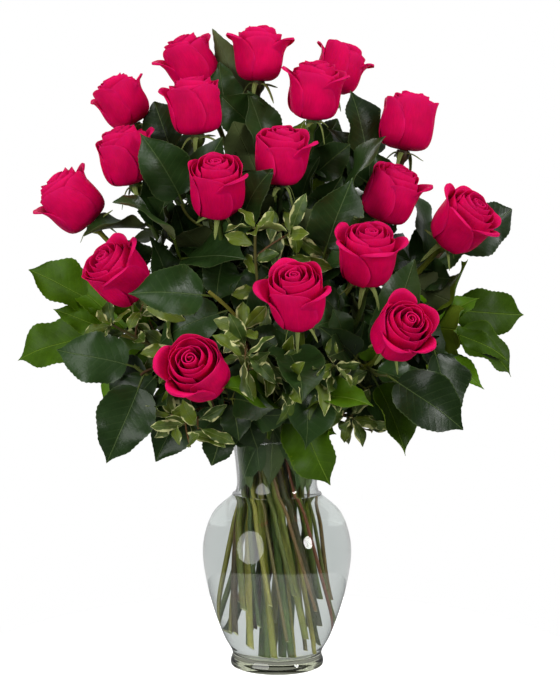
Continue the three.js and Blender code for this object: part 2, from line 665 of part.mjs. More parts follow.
const places = shareNeck(stems.map(({ end }) => end.toArray()));
stems.forEach((stem, i) => {
  stem.place = places[i];
  stem.foot = footHeight(stem.place, stem.radius, SEED.foot + i);
  stem.spots = STEM_SPOTS;
  const nearer = new Map([[stem.bloom, SEAT_GAP * 0.9]]);
  const made = firstClear(STEM_TRIES, nearer, (attempt) => stemAt(stem, attempt));
  if (!made) throw new Error(`stem ${i} finds no clear way`);
  stem.curve = made.curve;
  stem.bar = settle(made.solid);
  stem.solids = [stem.bar];
});

// What a leaf or an arm of a stem may come nearer to: the bar that carries it, and that stem's other leaves.
function nearerTo(stem, bar) {
  return new Map([...stem.solids.map((solid) => [solid, LEAF_GAP]), [bar, 0]]);
}

// Places the first clear one of a leaf's tries on a bar. Where none is clear, the stem has one leaf less.
function addLeaf(stem, { bar }, make) {
  const made = firstClear(LEAF_TRIES, nearerTo(stem, bar), make);
  if (made) stem.solids.push(settle(made.solid));
}

// The arms of each spray of greens. The first is its stem.
const arms = greenStems.flatMap((stem, i) => {
  const [first, ...further] = GREENS[i].arms.map(({ end, way }, k) => ({
    stem,
    end: vector(end),
    way: vector(way).normalize(),
    fork: ARM_FORKS[k],
    seed: SEED.greens + 300 * i + 100 * k,
  }));
  return [
    { ...first, curve: stem.curve, bar: stem.bar, spots: STEM_SPOTS },
    ...further.flatMap((arm) => {
      const made = firstClear(STEM_TRIES, nearerTo(stem, stem.bar), (attempt) => armAt(stem, arm, attempt));
      if (!made) return [];
      stem.solids.push(settle(made.solid));
      return [{ ...arm, curve: made.curve, bar: made.solid, spots: ARM_SPOTS }];
    }),
  ];
});

// Leaves: first the one at the end of every arm, then the roses' own, then those beside the arms, from the
// end down, and the twigs' last.
arms.forEach((arm) => addLeaf(arm.stem, arm, (attempt) => blade(endLeafShape(arm, attempt, GREEN_LEAF))));
roseStems.forEach((stem, i) => {
  addLeaf(stem, stem, (attempt) => roseLeaf(stem, SEED.roseLeaves + 40 * i, attempt));
});
for (let rank = 1; rank <= LEAVES_PER_ARM; rank++) {
  arms.forEach((arm) => {
    const place = 1 - ((rank - 0.2) * GREEN_LEAF.spacing) / arm.curve.getLength();
    const turn = (rank % 2 ? -1 : 1) * (Math.PI / 2);
    if (place > 0.12) {
      const seed = arm.seed + 10 * rank;
      addLeaf(arm.stem, arm, (attempt) => blade(sideLeafShape(arm, place, seed, turn, attempt, GREEN_LEAF)));
    }
  });
}
twigStems.forEach((stem, i) => {
  for (let k = 0; k < TWIG_LEAF.count; k++) {
    const below = k - TWIG_LEAF.whorl + 1;
    const place = below <= 0 ? 0.995 - 0.004 * k : 0.99 - 0.075 * below;
    const seed = SEED.twigs + 200 * i + 8 * k;
    const turn = k * GOLDEN_ANGLE;
    addLeaf(stem, stem, (attempt) => blade(sideLeafShape(stem, place, seed, turn, attempt, TWIG_LEAF)));
  }
});

const water = largestBody(turned(waterProfile()).subtract(wasm.Manifold.union(stems.map(stemHole))));

addPiece("vase", vase, clearGlass);
addPiece("water", water, clearWater);
blooms.forEach((bloom, i) => addPiece(label("rose_bloom", i), bloom, petalRed));
roseStems.forEach((stem, i) => addPiece(label("rose_stem", i), fuse(stem.solids), roseGreen));
greenStems.forEach((stem, i) => {
  const material = GREENS[i].tone === "deep" ? deepLeaf : brightLeaf;
  addPiece(label("broad_leaf_spray", i), fuse(stem.solids), material);
});
twigStems.forEach((stem, i) => addPiece(label("variegated_twig", i), fuse(stem.solids), creamLeaf));

export default bunch;
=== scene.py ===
# Eighteen long-stemmed red roses with broad green leaves and small variegated twigs, in a clear glass vase.
# Sizes are in millimetres, and a mesh is brought to the frame's metres when it is made. Only the lamps are
# given in metres.
import math

import bpy
import numpy as np
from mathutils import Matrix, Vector
from mathutils.kdtree import KDTree


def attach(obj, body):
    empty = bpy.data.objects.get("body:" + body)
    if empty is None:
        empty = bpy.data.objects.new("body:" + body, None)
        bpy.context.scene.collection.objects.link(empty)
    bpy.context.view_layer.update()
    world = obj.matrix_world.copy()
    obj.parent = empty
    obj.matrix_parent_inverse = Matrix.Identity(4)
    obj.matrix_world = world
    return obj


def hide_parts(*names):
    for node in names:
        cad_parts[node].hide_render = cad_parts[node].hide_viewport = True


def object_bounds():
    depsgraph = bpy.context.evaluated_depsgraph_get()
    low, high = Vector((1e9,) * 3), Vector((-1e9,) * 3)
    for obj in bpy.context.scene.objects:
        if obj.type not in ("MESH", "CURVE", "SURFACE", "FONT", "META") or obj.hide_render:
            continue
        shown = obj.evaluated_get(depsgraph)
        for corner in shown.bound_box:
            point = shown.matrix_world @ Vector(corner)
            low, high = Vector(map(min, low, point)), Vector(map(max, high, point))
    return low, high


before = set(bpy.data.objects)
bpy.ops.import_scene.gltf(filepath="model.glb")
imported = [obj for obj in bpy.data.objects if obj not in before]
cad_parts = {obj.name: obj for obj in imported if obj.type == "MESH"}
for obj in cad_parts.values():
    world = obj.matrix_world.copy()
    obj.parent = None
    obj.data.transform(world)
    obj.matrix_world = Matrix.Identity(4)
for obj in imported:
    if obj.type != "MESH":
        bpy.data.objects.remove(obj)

cad_box = [list(corner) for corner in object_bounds()]

# ---------------------------------------------------------------- vase
# A pressed glass vase: a thick foot, a full round belly, a hard shoulder and a narrow neck that flares to
# the rim. The wall is 2 to 3 mm of clear glass with a faint cool tint. The olive in the foot is painted
# refraction of the dark stems seen through it. The lip is polished and the faces are slightly wavy.

MM = 0.001
VASE_SIDES = 96
VASE_HEIGHT = 231
VASE_FLOOR = 12
FLOOR_DISH = 0.6  # how far the middle of the floor is sunken
FOOT_HOLLOW = 1.5  # how far the middle of the foot is pressed up from below
NECK_HEIGHT = 182
VASE_OUTSIDE = [
    (44, 0), (46.4, 1.2), (47, 5), (45, 13), (54, 31), (68, 72), (75, 114), (72, 137), (63.5, 156.5),
    (43, 175.5), (40.6, NECK_HEIGHT), (41.5, 203), (45, VASE_HEIGHT - 1),
]
VASE_INSIDE = [
    (36, VASE_FLOOR), (43, 17), (51.5, 33), (65, 72.5), (72, 114), (69.2, 136), (61.2, 154), (41, 177),
    (38.8, NECK_HEIGHT), (39.7, 203), (43, VASE_HEIGHT - 1),
]
VASE_LIP = [(44.7, VASE_HEIGHT), (44, VASE_HEIGHT + 0.4), (43.3, VASE_HEIGHT)]


def smooth_line(points, count):
    """`count` points, evenly spaced, on a smooth curve through the given ones."""
    points = np.array(points, float)
    knots = np.concatenate([[0], np.cumsum(np.linalg.norm(np.diff(points, axis=0), axis=1) ** 0.5)])
    padded = np.vstack([2 * points[0] - points[1], points, 2 * points[-1] - points[-2]])
    spots = np.concatenate([[2 * knots[0] - knots[1]], knots, [2 * knots[-1] - knots[-2]]])
    fine = []
    for i in range(1, len(points)):
        t = np.linspace(spots[i], spots[i + 1], 12, endpoint=False)[:, None]
        k, p = spots[i - 1:i + 3], padded[i - 1:i + 3]
        first = [(p[j] * (k[j + 1] - t) + p[j + 1] * (t - k[j])) / (k[j + 1] - k[j]) for j in range(3)]
        second = [
            (first[j] * (k[j + 2] - t) + first[j + 1] * (t - k[j])) / (k[j + 2] - k[j]) for j in range(2)
        ]
        fine.append((second[0] * (k[2] - t) + second[1] * (t - k[1])) / (k[2] - k[1]))
    fine = np.vstack([*fine, points[-1:]])
    run = np.concatenate([[0], np.cumsum(np.linalg.norm(np.diff(fine, axis=0), axis=1))])
    wanted = np.linspace(0, run[-1], count)
    return np.stack([np.interp(wanted, run, fine[:, axis]) for axis in range(fine.shape[1])], axis=1)


class Shape:
    """Corners and faces of one piece, in millimetres, with the numbers that its finishes read."""

    def __init__(self):
        self.corners, self.faces, self.coats, self.values, self.count = [], [], [], [], 0

    def add(self, corners, faces, coat=0, **values):
        """Adds a part in one of the piece's finishes. A value is one number, or one for each corner."""
        self.corners.append(corners)
        self.faces += [[corner + self.count for corner in face] for face in faces]
        self.coats += [coat] * len(faces)
        self.values.append((len(corners), values))
        self.count += len(corners)

    def build(self, name, finishes, crease=50):
        """Makes the piece's mesh and object. Edges sharper than `crease` degrees are kept crisp."""
        mesh = bpy.data.meshes.new(name)
        mesh.from_pydata((np.concatenate(self.corners) * MM).tolist(), [], self.faces)
        for finish in finishes:
            mesh.materials.append(finish)
        mesh.polygons.foreach_set("material_index", self.coats)
        mesh.polygons.foreach_set("use_smooth", [True] * len(self.faces))
        for key in sorted({key for _, values in self.values for key in values}):
            numbers = np.concatenate([
                np.broadcast_to(np.asarray(values.get(key, 0), np.float32), count)
                for count, values in self.values
            ])
            carried = mesh.attributes.new(key, "FLOAT", "POINT")
            carried.data.foreach_set("value", np.ascontiguousarray(numbers))
        mesh.update()
        mesh.set_sharp_from_angle(angle=math.radians(crease))
        piece = bpy.data.objects.new(name, mesh)
        bpy.context.scene.collection.objects.link(piece)
        return piece


def turned(profile, sides):
    """A round body from a profile of radius and height that starts and ends on the axis."""
    angles = np.linspace(0, 2 * np.pi, sides, endpoint=False)
    rings = [
        np.stack([radius * np.cos(angles), radius * np.sin(angles), np.full(sides, height)], axis=1)
        for radius, height in profile[1:-1]
    ]
    ends = [[0, 0, profile[0][1]], [0, 0, profile[-1][1]]]
    last = len(rings) * sides
    faces = []
    for side in range(sides):
        after = (side + 1) % sides
        faces.append([last, after, side])
        for row in range(0, last - sides, sides):
            faces.append([row + side, row + after, row + sides + after, row + sides + side])
        faces.append([last + 1, last - sides + side, last - sides + after])
    return np.vstack([*rings, ends]), faces


class Channel:
    """An output of a finish's nodes. A sum on it is worked out by Math nodes."""

    def __init__(self, nodes, socket):
        self.nodes, self.socket = nodes, socket

    def sum(self, operation, first, second):
        return self.nodes.add("ShaderNodeMath", {"operation": operation}, {0: first, 1: second})

    def __add__(self, other):
        return self.sum("ADD", self, other)

    def __sub__(self, other):
        return self.sum("SUBTRACT", self, other)

    def __rsub__(self, other):
        return self.sum("SUBTRACT", other, self)

    def __mul__(self, other):
        return self.sum("MULTIPLY", self, other)

    __radd__, __rmul__ = __add__, __mul__


class Nodes:
    """The nodes of one finish, of the surroundings or of anything else that has them."""

    def __init__(self, owner):
        owner.use_nodes = True
        self.tree = owner.node_tree
        self.tree.nodes.clear()

    def add(self, kind, settings=None, inputs=None, output=0):
        """A node of a kind: its settings first, a ramp's stops among them, then its sockets' values or links.
        Gives one of its outputs."""
        node = self.tree.nodes.new(kind)
        for key, value in (settings or {}).items():
            if key == "stops":
                while len(node.color_ramp.elements) < len(value):
                    node.color_ramp.elements.new(1)
                for element, (position, colour) in zip(node.color_ramp.elements, value):
                    element.position, element.color = position, (*colour, 1)
            else:
                setattr(node, key, value)
        for key, value in (inputs or {}).items():
            if isinstance(value, Channel):
                self.tree.links.new(value.socket, node.inputs[key])
            else:
                node.inputs[key].default_value = value
        return Channel(self, node.outputs[output]) if len(node.outputs) else None

    def value(self, name):
        """A number that the mesh carries at each corner."""
        return self.add("ShaderNodeAttribute", {"attribute_name": name}, {}, "Fac")

    def held(self, channel, low=0.0, high=1.0):
        """The channel, rescaled so that `low` gives 0 and `high` gives 1, and held between them."""
        return self.add("ShaderNodeMapRange", {"interpolation_type": "SMOOTHSTEP"},
                        {"Value": channel, "From Min": low, "From Max": high})

    def mixed(self, share, first, second):
        """A colour between two others. Plain colours are given as red, green and blue."""
        first, second = [c if isinstance(c, Channel) else (*c, 1) for c in (first, second)]
        return self.add("ShaderNodeMix", {"data_type": "RGBA"}, {0: share, 6: first, 7: second}, 2)

    def place(self, kind="Object"):
        return self.add("ShaderNodeTexCoord", output=kind)

    def noise(self, scale, detail=2.0, roughness=0.5, place=None):
        inputs = {"Scale": scale, "Detail": detail, "Roughness": roughness, "Vector": place or self.place()}
        return self.add("ShaderNodeTexNoise", {}, inputs)

    def bump(self, strength, distance, height):
        return self.add("ShaderNodeBump", {}, {"Strength": strength, "Distance": distance, "Height": height})

    def ray(self, kind):
        """1 for rays of a kind: what the camera sees, what glass or gloss mirrors and so on."""
        return self.add("ShaderNodeLightPath", output=f"Is {kind} Ray")

    def bounced(self, kind):
        """1 for rays that have bounced off something in a way: diffusely or in a gloss."""
        return self.held(self.add("ShaderNodeLightPath", output=f"{kind} Depth"))

    def surface(self, inputs):
        shader = self.add("ShaderNodeBsdfPrincipled", {}, inputs)
        self.add("ShaderNodeOutputMaterial", {}, {"Surface": shader})


def new_finish(name):
    """A finish without nodes so far, and the nodes that will be added to it."""
    finish = bpy.data.materials.new(name)
    return finish, Nodes(finish)


glass, nodes = new_finish("clear_pressed_glass")
height = nodes.add("ShaderNodeSeparateXYZ", {}, {0: nodes.place()}, "Z")
# The olive mixed into the foot is painted refraction: it stands in for the dark stems seen through the thick
# glass.
in_foot = 1 - nodes.held(height, 0.009, 0.016)
smears = nodes.held(nodes.noise(38.0, 4.0, 0.6), 0.5, 0.8)
nodes.surface({
    "Base Color": nodes.mixed(in_foot, (0.955, 0.975, 0.97), (0.74, 0.76, 0.58)),
    "Roughness": 0.012 + 0.03 * smears,
    "IOR": 1.5,
    "Transmission Weight": 1.0,
    "Normal": nodes.bump(0.06, 0.004, nodes.noise(14.0, 1.0)),
})

inner_wall = smooth_line(VASE_INSIDE, 90)
vase_profile = [
    (0, FOOT_HOLLOW), (30, FOOT_HOLLOW), (40, 0.6), *smooth_line(VASE_OUTSIDE, 90), *VASE_LIP,
    *inner_wall[::-1], (20, VASE_FLOOR - FLOOR_DISH), (0, VASE_FLOOR - FLOOR_DISH),
]
shape = Shape()
shape.add(*turned(vase_profile, VASE_SIDES))
vase = shape.build("glass_vase", [glass], 35)
vase.visible_shadow = False  # clear glass lets the lamps through to the stems
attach(vase, "root")
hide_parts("vase")

# ---------------------------------------------------------------- water
# Clear water up to just under the neck. It wets the glass all over, so its side lies a hair inside the wall,
# and it climbs the glass a little at its edge. The stems stand in it.

WATER_LEVEL = 174
WATER_OVERLAP = 0.15
WATER_BOTTOM = VASE_FLOOR - FLOOR_DISH - WATER_OVERLAP
# The edge of the water: how far in from the glass, and how high it climbs there.
WATER_EDGE = [(1.1, 0.7), (2.4, 0.385), (5, 0.105), (9, 0)]

fresh_water, nodes = new_finish("fresh_water")
nodes.surface({
    "Base Color": (0.955, 0.98, 0.965, 1),
    "Roughness": 0.0,
    "IOR": 1.333,
    "Transmission Weight": 1.0,
    "Normal": nodes.bump(0.03, 0.002, nodes.noise(22.0, 1.0)),
})

wetted = [(radius + WATER_OVERLAP, height) for radius, height in inner_wall if height < WATER_LEVEL - 1]
water_profile = [
    (0, WATER_BOTTOM), (20, WATER_BOTTOM), *wetted,
    *[(wetted[-1][0] - inwards, WATER_LEVEL + climb) for inwards, climb in WATER_EDGE],
    (14, WATER_LEVEL), (0, WATER_LEVEL),
]
shape = Shape()
shape.add(*turned(water_profile, VASE_SIDES))
water = shape.build("vase_water", [fresh_water], 60)
water.visible_shadow = False
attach(water, "root")
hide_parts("water")

# ---------------------------------------------------------------- rose stems, hips and sepals
# A rose's stem is a stiff green cane with a few hooked prickles. It is cut off slantwise at its foot and
# swells at its head into the hip, from which five narrow sepals hang. Its leaves have three toothed leaflets,
# and of some only the end one shows.

# Where each bloom's middle is, how far it leans to the right and nods to the viewer (degrees), its size
# beside a bloom 58 high, and how far it is open, from a tight bud at 0 to full at 1.
ROSES = [
    ((-90, 52, 612), -25, 12, 0.96, 0.55), ((-18, 34, 618), 2, 0, 0.96, 0.4),
    ((66, 78, 609), 22, -8, 0.9, 0.9), ((38, 2, 578), 4, 14, 1.0, 0.4),
    ((-159, 50, 572), -27, 5, 0.92, 0.35), ((-82, 0, 563), -6, 8, 1.0, 0.5),
    ((-151, 6, 514), -17, 12, 1.01, 0.45), ((5, -45, 511), 3, 18, 0.96, 0.3),
    ((133, 30, 550), 9, 2, 1.04, 0.6), ((-57, -75, 480), -3, 32, 1.0, 0.3),
    ((113, -25, 475), 20, 15, 0.98, 0.45), ((-208, 15, 469), -42, 8, 1.06, 0.4),
    ((182, -30, 447), 38, 30, 1.02, 0.5), ((86, -95, 415), 4, 28, 1.0, 0.7),
    ((-153, -60, 397), -42, 32, 1.03, 0.6), ((18, -130, 377), -8, 36, 1.02, 0.8),
    ((116, -115, 344), 32, 52, 0.96, 0.6), ((-73, -140, 310), -25, 58, 1.02, 0.85),
]
BLOOM_HEIGHT = 58
HIP_LENGTH = 15
HIP_RINGS = [(2.5, 3.1), (4.5, 4.6), (6.5, 6.0), (9, 6.9), (12, 7.2), (14.7, 6.6)]
PRICKLES = 4
SEPALS = 5
SEPAL_ROOT = (2.6, 6.0)  # how far under the bloom and how far out a sepal starts
SEPAL_BELOW = 4.5
SEPAL_LENGTH = 25

# Sprays of broad leaves: their tone, and for each arm where its last leaf starts and which way that points.
GREENS = [
    ("bright", [((-180, -10, 342), (-1, -0.1, -0.33)), ((-176, 5, 364), (-0.88, -0.1, 0.45))]),
    ("deep", [((-138, -62, 308), (-0.95, -0.1, 0.28)), ((-130, -78, 300), (-0.35, -0.25, -0.9))]),
    ("bright", [((180, 0, 345), (0.85, 0, -0.5)), ((172, 25, 362), (0.95, 0.1, -0.1))]),
    ("deep", [((156, -50, 328), (0.3, -0.2, -0.93)), ((105, -85, 300), (0.8, -0.25, -0.5))]),
    ("bright", [((15, -72, 274), (0.45, -0.35, -0.82)), ((97, -64, 298), (0.45, -0.1, -0.85))]),
    ("deep", [
        ((96, 30, 512), (-0.2, 0, 1)), ((-10, 25, 515), (-0.35, 0, 0.9)), ((62, -10, 465), (0.5, -0.4, 0.8)),
    ]),
    ("deep", [
        ((-52, 40, 560), (-0.15, 0.05, 1)), ((-108, 25, 515), (-0.42, 0, 0.9)),
        ((-95, -5, 465), (-0.4, -0.4, 0.85)),
    ]),
    ("deep", [((176, 20, 428), (0.85, 0.1, 0.4)), ((130, 20, 400), (0.7, -0.3, 0.5))]),
    ("deep", [
        ((-134, 20, 446), (-1, 0, 0.1)), ((-100, -40, 430), (-0.4, -0.6, 0.5)),
        ((-40, -40, 432), (0.3, -0.5, 0.8)),
    ]),
    ("deep", [
        ((-60, 118, 430), (-0.4, 0.8, 0.4)), ((-115, 108, 330), (-0.6, 0.75, -0.2)),
        ((-110, 95, 490), (-0.5, 0.6, 0.7)),
    ]),
    ("bright", [
        ((60, 128, 400), (0.3, 0.9, 0.2)), ((120, 110, 325), (0.6, 0.7, -0.3)),
        ((10, 115, 490), (0.1, 0.6, 0.8)),
    ]),
    ("deep", [((10, 130, 310), (0.1, 0.9, -0.35)), ((-50, 105, 275), (-0.4, 0.7, -0.6))]),
    ("deep", [
        ((-64, -92, 380), (-0.75, -0.35, 0.1)), ((26, -98, 325), (0.05, -0.3, -0.95)),
        ((48, -62, 415), (0.3, -0.4, 0.85)),
    ]),
    ("deep", [((-62, -62, 300), (-0.15, -0.45, -0.8)), ((55, 80, 290), (0.4, 0.8, -0.2))]),
]

# Twigs of small leaves: where each ends and which way it points there.
TWIGS = [
    ((53, -112, 312), (0.2, -0.9, 0.1)), ((-20, -92, 440), (0.1, -0.8, 0.6)),
    ((-100, -85, 262), (-0.4, -0.5, -0.6)), ((-32, -108, 345), (-0.2, -0.9, 0.3)),
    ((72, -62, 258), (0.4, -0.5, -0.5)), ((-160, -58, 348), (-0.8, -0.5, 0)),
    ((30, 118, 470), (0.1, 0.7, 0.7)),
]

NECK_REACH = 33.2  # how far from the axis the outermost stems stand in the neck
STEM_SPIRAL = 0.009  # how far round the axis a stem runs in each millimetre, beside its distance from it
SPIRAL_LEAD = math.pi / 4  # how far round from its lean a stem stands in the neck
STEM_EXIT = 238  # the stems are straight up to here
FOOT_LIFT = (-20, 55)  # how high feet are held; those below 0 stand on the glass
SEAT_GAP = 0.3  # between two solids of the plain model
STEM_SPOTS = [0, 0.36, 0.7, 1]  # where along their curves the plain model's stems have rings
STEM_TAPER = 0.15
STEM_TRIES = 90
BULGE_STEP = 6
HANDLE_SHARE = 0.38  # of the straight way, for a curve's handles
LEAN_ORIGIN = NECK_HEIGHT - 60  # the stems' lean is measured from this height
ARM_LIFT = 0.6  # how much an arm is turned upwards at its end
GOLDEN_ANGLE = 2.39996
CAD_VASE_SIDES = 18
ROSE_STEM_RADIUS = 3
GREEN_STEM_RADIUS = 2
TWIG_RADIUS = 1.5
UP = np.array([0.0, 0.0, 1.0])
SEED = {
    "foot": 500, "sepals": 700, "greens": 2000, "petals": 3000, "neck_leaves": 3000, "side_neck_leaves": 3400,
    "rose_leaves": 5000, "twigs": 7000, "branchlets": 12000, "spare_rose_leaves": 20000,
    "spare_green_leaves": 29000, "single_rose_leaves": 40000, "single_green_leaves": 40900,
}
FOUND = 0.3  # how far a corner may lie from the one that it is matched with


def chance(n):
    """A repeatable number from 0 to 1 for each whole number."""
    s = math.sin(n * 12.9898 + 4.1414) * 43758.5453
    return s - math.floor(s)


def spread(n, low, high):
    return low + (high - low) * chance(n)


def unit(vectors):
    return vectors / np.maximum(np.linalg.norm(vectors, axis=-1, keepdims=True), 1e-9)


def swung(vector, axis, angle):
    """A vector turned about an axis."""
    axis = unit(np.array(axis, float))
    return (vector * math.cos(angle) + np.cross(axis, vector) * math.sin(angle)
            + axis * (axis @ vector) * (1 - math.cos(angle)))


class Curve:
    """A cubic curve with two handles."""

    def __init__(self, start, first, second, end):
        self.start, self.first, self.second, self.end = start, first, second, end

    def at(self, t):
        t = np.asarray(t, float)[..., None]
        u = 1 - t
        return u**3 * self.start + 3 * u * u * t * self.first + 3 * u * t * t * self.second + t**3 * self.end

    def way(self, t):
        t = np.asarray(t, float)[..., None]
        u = 1 - t
        return unit(u * u * (self.first - self.start) + 2 * u * t * (self.second - self.first)
                    + t * t * (self.end - self.second))

    def length(self):
        return np.linalg.norm(np.diff(self.at(np.linspace(0, 1, 201)), axis=0), axis=1).sum()


def inside_radius(height):
    """Radius of the plain model's inner wall, which has flat sides, up to the belly."""
    radii, heights = zip(*VASE_INSIDE[:5])
    return float(np.interp(height, heights, radii)) * math.cos(math.pi / CAD_VASE_SIDES)


def stem_point(place, height):
    """Inside the vase the stems are straight and lean round the axis, all the same way, so that none meet."""
    run = STEM_SPIRAL * (NECK_HEIGHT - height)
    return np.array([place[0] - run * place[1], place[1] + run * place[0], height])


def foot_height(place, radius, seed):
    height = VASE_FLOOR + SEAT_GAP + 0.25 * radius + 0.6
    while np.hypot(*stem_point(place, height)[:2]) + radius + SEAT_GAP + 0.9 > inside_radius(height):
        height += 1
    return height + max(0, spread(seed, *FOOT_LIFT))


def share_neck(ends):
    """Gives each stem the free place in the neck that is nearest to the one that suits its lean."""
    count = len(ends)
    radii = NECK_REACH * np.sqrt((np.arange(count) + 0.5) / count)
    angles = np.arange(count) * GOLDEN_ANGLE
    free = list(zip(radii * np.cos(angles), radii * np.sin(angles)))
    reach = [math.hypot(x, y) / (z - LEAN_ORIGIN) for x, y, z in ends]
    chosen = {}
    for rank, i in enumerate(sorted(range(count), key=lambda i: -reach[i])):
        radius = NECK_REACH * math.sqrt((count - rank - 0.5) / count)
        angle = math.atan2(ends[i][1], ends[i][0]) + SPIRAL_LEAD
        wish = (radius * math.cos(angle), radius * math.sin(angle))
        nearest = min(range(len(free)), key=lambda k: math.dist(free[k], wish))
        chosen[i] = free.pop(nearest)
    return [chosen[i] for i in range(count)]


def bend(start, start_way, end, end_way, attempt):
    """The curve of a numbered try: each further one swings further out of the straight way."""
    along = unit(end - start)
    side = unit(np.array([-along[1], along[0], 0]))
    size, angle = BULGE_STEP * math.sqrt(attempt), attempt * GOLDEN_ANGLE
    bulge = side * size * math.cos(angle) + np.cross(along, side) * size * math.sin(angle)
    handle = HANDLE_SHARE * np.linalg.norm(end - start)
    return Curve(start, start + start_way * handle + bulge, end - end_way * handle + bulge * 0.5, end)


def ring_corners(rings, sides):
    """The corners of a plain bar's rings, each given as its middle, its direction and its radius."""
    side = np.array([1.0, 0, 0])
    corners = []
    for middle, way, radius in rings:
        side = unit(side - way * (side @ way))
        across = np.cross(way, side)
        turns = 2 * np.pi * np.arange(sides)[:, None] / sides
        corners.append(middle + radius * (np.cos(turns) * side + np.sin(turns) * across))
    return corners, side


def corners_of(node):
    """A finder for the corners of a node of the plain model, in millimetres."""
    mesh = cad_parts[node].data
    tree = KDTree(len(mesh.vertices))
    for i, corner in enumerate(mesh.vertices):
        tree.insert(corner.co / MM, i)
    tree.balance()
    return tree


def misses(tree, points):
    """How far points lie from a node's corners, leaving out the worst quarter of them."""
    distances = sorted(tree.find(point)[2] for point in np.reshape(points, (-1, 3)))
    return distances[(3 * len(distances) - 1) // 4]


def bar_point(curve, spots, place):
    """The point of a bar's straight stretches that lies at a place along its curve."""
    i = next(k for k in range(1, len(spots)) if spots[k] >= place)
    share = (place - spots[i - 1]) / (spots[i] - spots[i - 1])
    return curve.at(spots[i - 1]) * (1 - share) + curve.at(spots[i]) * share


def axis_of(lean, nod):
    a, b = math.radians(lean), math.radians(nod)
    return np.array([math.sin(a) * math.cos(b), -math.sin(b), math.cos(a) * math.cos(b)])


def arm_way(way):
    return unit(unit(np.array(way, float)) + ARM_LIFT * UP)


def label(kind, i):
    return f"{kind}_{i + 1:02d}"


def new_stem(node, sides, radius, end, way, **bloom):
    return {"node": node, "sides": sides, "radius": radius, "end": np.array(end, float), "way": way, **bloom}


stems = []
for i, (at, lean, nod, size, opened) in enumerate(ROSES):
    axis = axis_of(lean, nod)
    base = np.array(at) - axis * BLOOM_HEIGHT / 2 * size
    stems.append(new_stem(label("rose_stem", i), 5, ROSE_STEM_RADIUS, base - axis * HIP_LENGTH, axis,
                          base=base, middle=np.array(at, float), size=size))
for i, (tone, [(end, way), *_]) in enumerate(GREENS):
    stems.append(new_stem(label("broad_leaf_spray", i), 4, GREEN_STEM_RADIUS, end, arm_way(way)))
for i, (end, way) in enumerate(TWIGS):
    stems.append(new_stem(label("variegated_twig", i), 4, TWIG_RADIUS, end, arm_way(way)))

for i, (stem, place) in enumerate(zip(stems, share_neck([stem["end"] for stem in stems]))):
    stem["place"] = place
    stem["foot"] = foot_height(place, stem["radius"], SEED["foot"] + i)
    stem["start_way"] = unit(np.array([STEM_SPIRAL * place[1], -STEM_SPIRAL * place[0], 1]))
    stem["tree"] = corners_of(stem["node"])
    start = stem_point(place, STEM_EXIT)
    tries = []
    for attempt in range(STEM_TRIES):
        curve = bend(start, stem["start_way"], stem["end"], stem["way"], attempt)
        rings = [(stem_point(place, stem["foot"]), stem["start_way"], stem["radius"])] + [
            (curve.at(t), curve.way(t), stem["radius"] * (1 - STEM_TAPER * t)) for t in STEM_SPOTS
        ]
        corners, side = ring_corners(rings, stem["sides"])
        tries.append((misses(stem["tree"], corners[2:4]), attempt, curve, side))
        if tries[-1][0] < FOUND:
            break
    stem["curve"], stem["side"] = min(tries, key=lambda made: made[:2])[2:]

LEAF_SIZES = [1, 0.8, 0.62]  # a leaf that finds no room is made smaller
TRIES_PER_SIZE = 9
# How leaves beside a stem and those at its end vary: the turn between two tries and the angle to the stem
# (degrees), the size, the turn about themselves (degrees) and the droop.
BESIDE = {"step": 28, "opening": (48, 68), "sizes": (0.82, 1.06), "twist": (-22, 22), "droop": (0.05, 0.26)}
AT_END = {"step": 9, "sizes": (0.9, 1.08), "twist": (-15, 15), "droop": (0.03, 0.14)}
FOLD = (0.05, 0.14)  # how far a leaf is folded up along its rib, beside its width
VIEWER_AWAY, VIEWER_HEIGHT = 1600, 420  # where the camera stands, before the vase's axis and over the floor
BLOOM_ROOM = 31  # how far spare leaves keep from a bloom's middle
RIM_ROOM = 4  # and how far over the vase's rim
SPARE_ROSE_LEAF = {"length": 70, "width": 34}
SPARE_PLACES = [0.3, 0.42, 0.54, 0.72]

# Single leaves on rose stems: the rose, the place along its stem, the leaf's tip, its width, and 1 where its
# face is seen or -1 where its underside is.
SINGLE_ROSE_LEAVES = [
    (2, 0.9, (-54, 12, 572), 46, 1), (2, 0.76, (-44, 0, 551), 40, -1), (4, 0.86, (70, 0, 524), 36, 1),
    (4, 0.72, (60, -8, 486), 38, 1), (8, 0.9, (62, -60, 428), 44, -1), (13, 0.8, (178, -20, 372), 42, -1),
    (9, 0.8, (95, 0, 515), 38, 1), (6, 0.86, (-112, -5, 515), 40, 1), (2, 0.84, (-66, 66, 640), 38, -1),
    (7, 0.88, (-108, 0, 470), 44, 1), (15, 0.75, (-118, -40, 432), 42, 1), (12, 0.8, (-150, 20, 430), 34, 1),
    (13, 0.7, (168, -45, 318), 40, 1), (17, 0.85, (140, -75, 405), 40, 1), (3, 0.82, (64, 55, 552), 40, 1),
]
LEAVES_FROM = np.array([0.0, 0.0, 330.0])  # leaves turn their upper faces away from here
FACE_LIFT = 0.35  # how much leaves turn their faces up
FACE_TURN = 0.8  # and to the front or the back
BACK_HALF = 45  # leaves from here back turn to the back, the others to the front
ROSE_LEAF = {"length": 80, "width": 40, "place": 0.62, "stalk": 0.34}
ROSE_PAIR = {"place": 0.8, "length": 0.55, "width": 0.85, "slant": 1.7, "stalk": 0.2}
# A bloom's outline, as heights over its foot and the radii there, with a little to spare.
OUTLINE_HEIGHTS = [0, 1.4, 4.8, 11.5, 20, 43, 52, 58, 60]
OUTLINE_RADII = [6, 15.2, 23, 26.4, 27.6, 28.4, 28.4, 20, 10]
ACROSS = np.array([1, 0.84, 0.56, 0.26, 0, -0.26, -0.56, -0.84, -1])  # a leaf's columns, over its half width


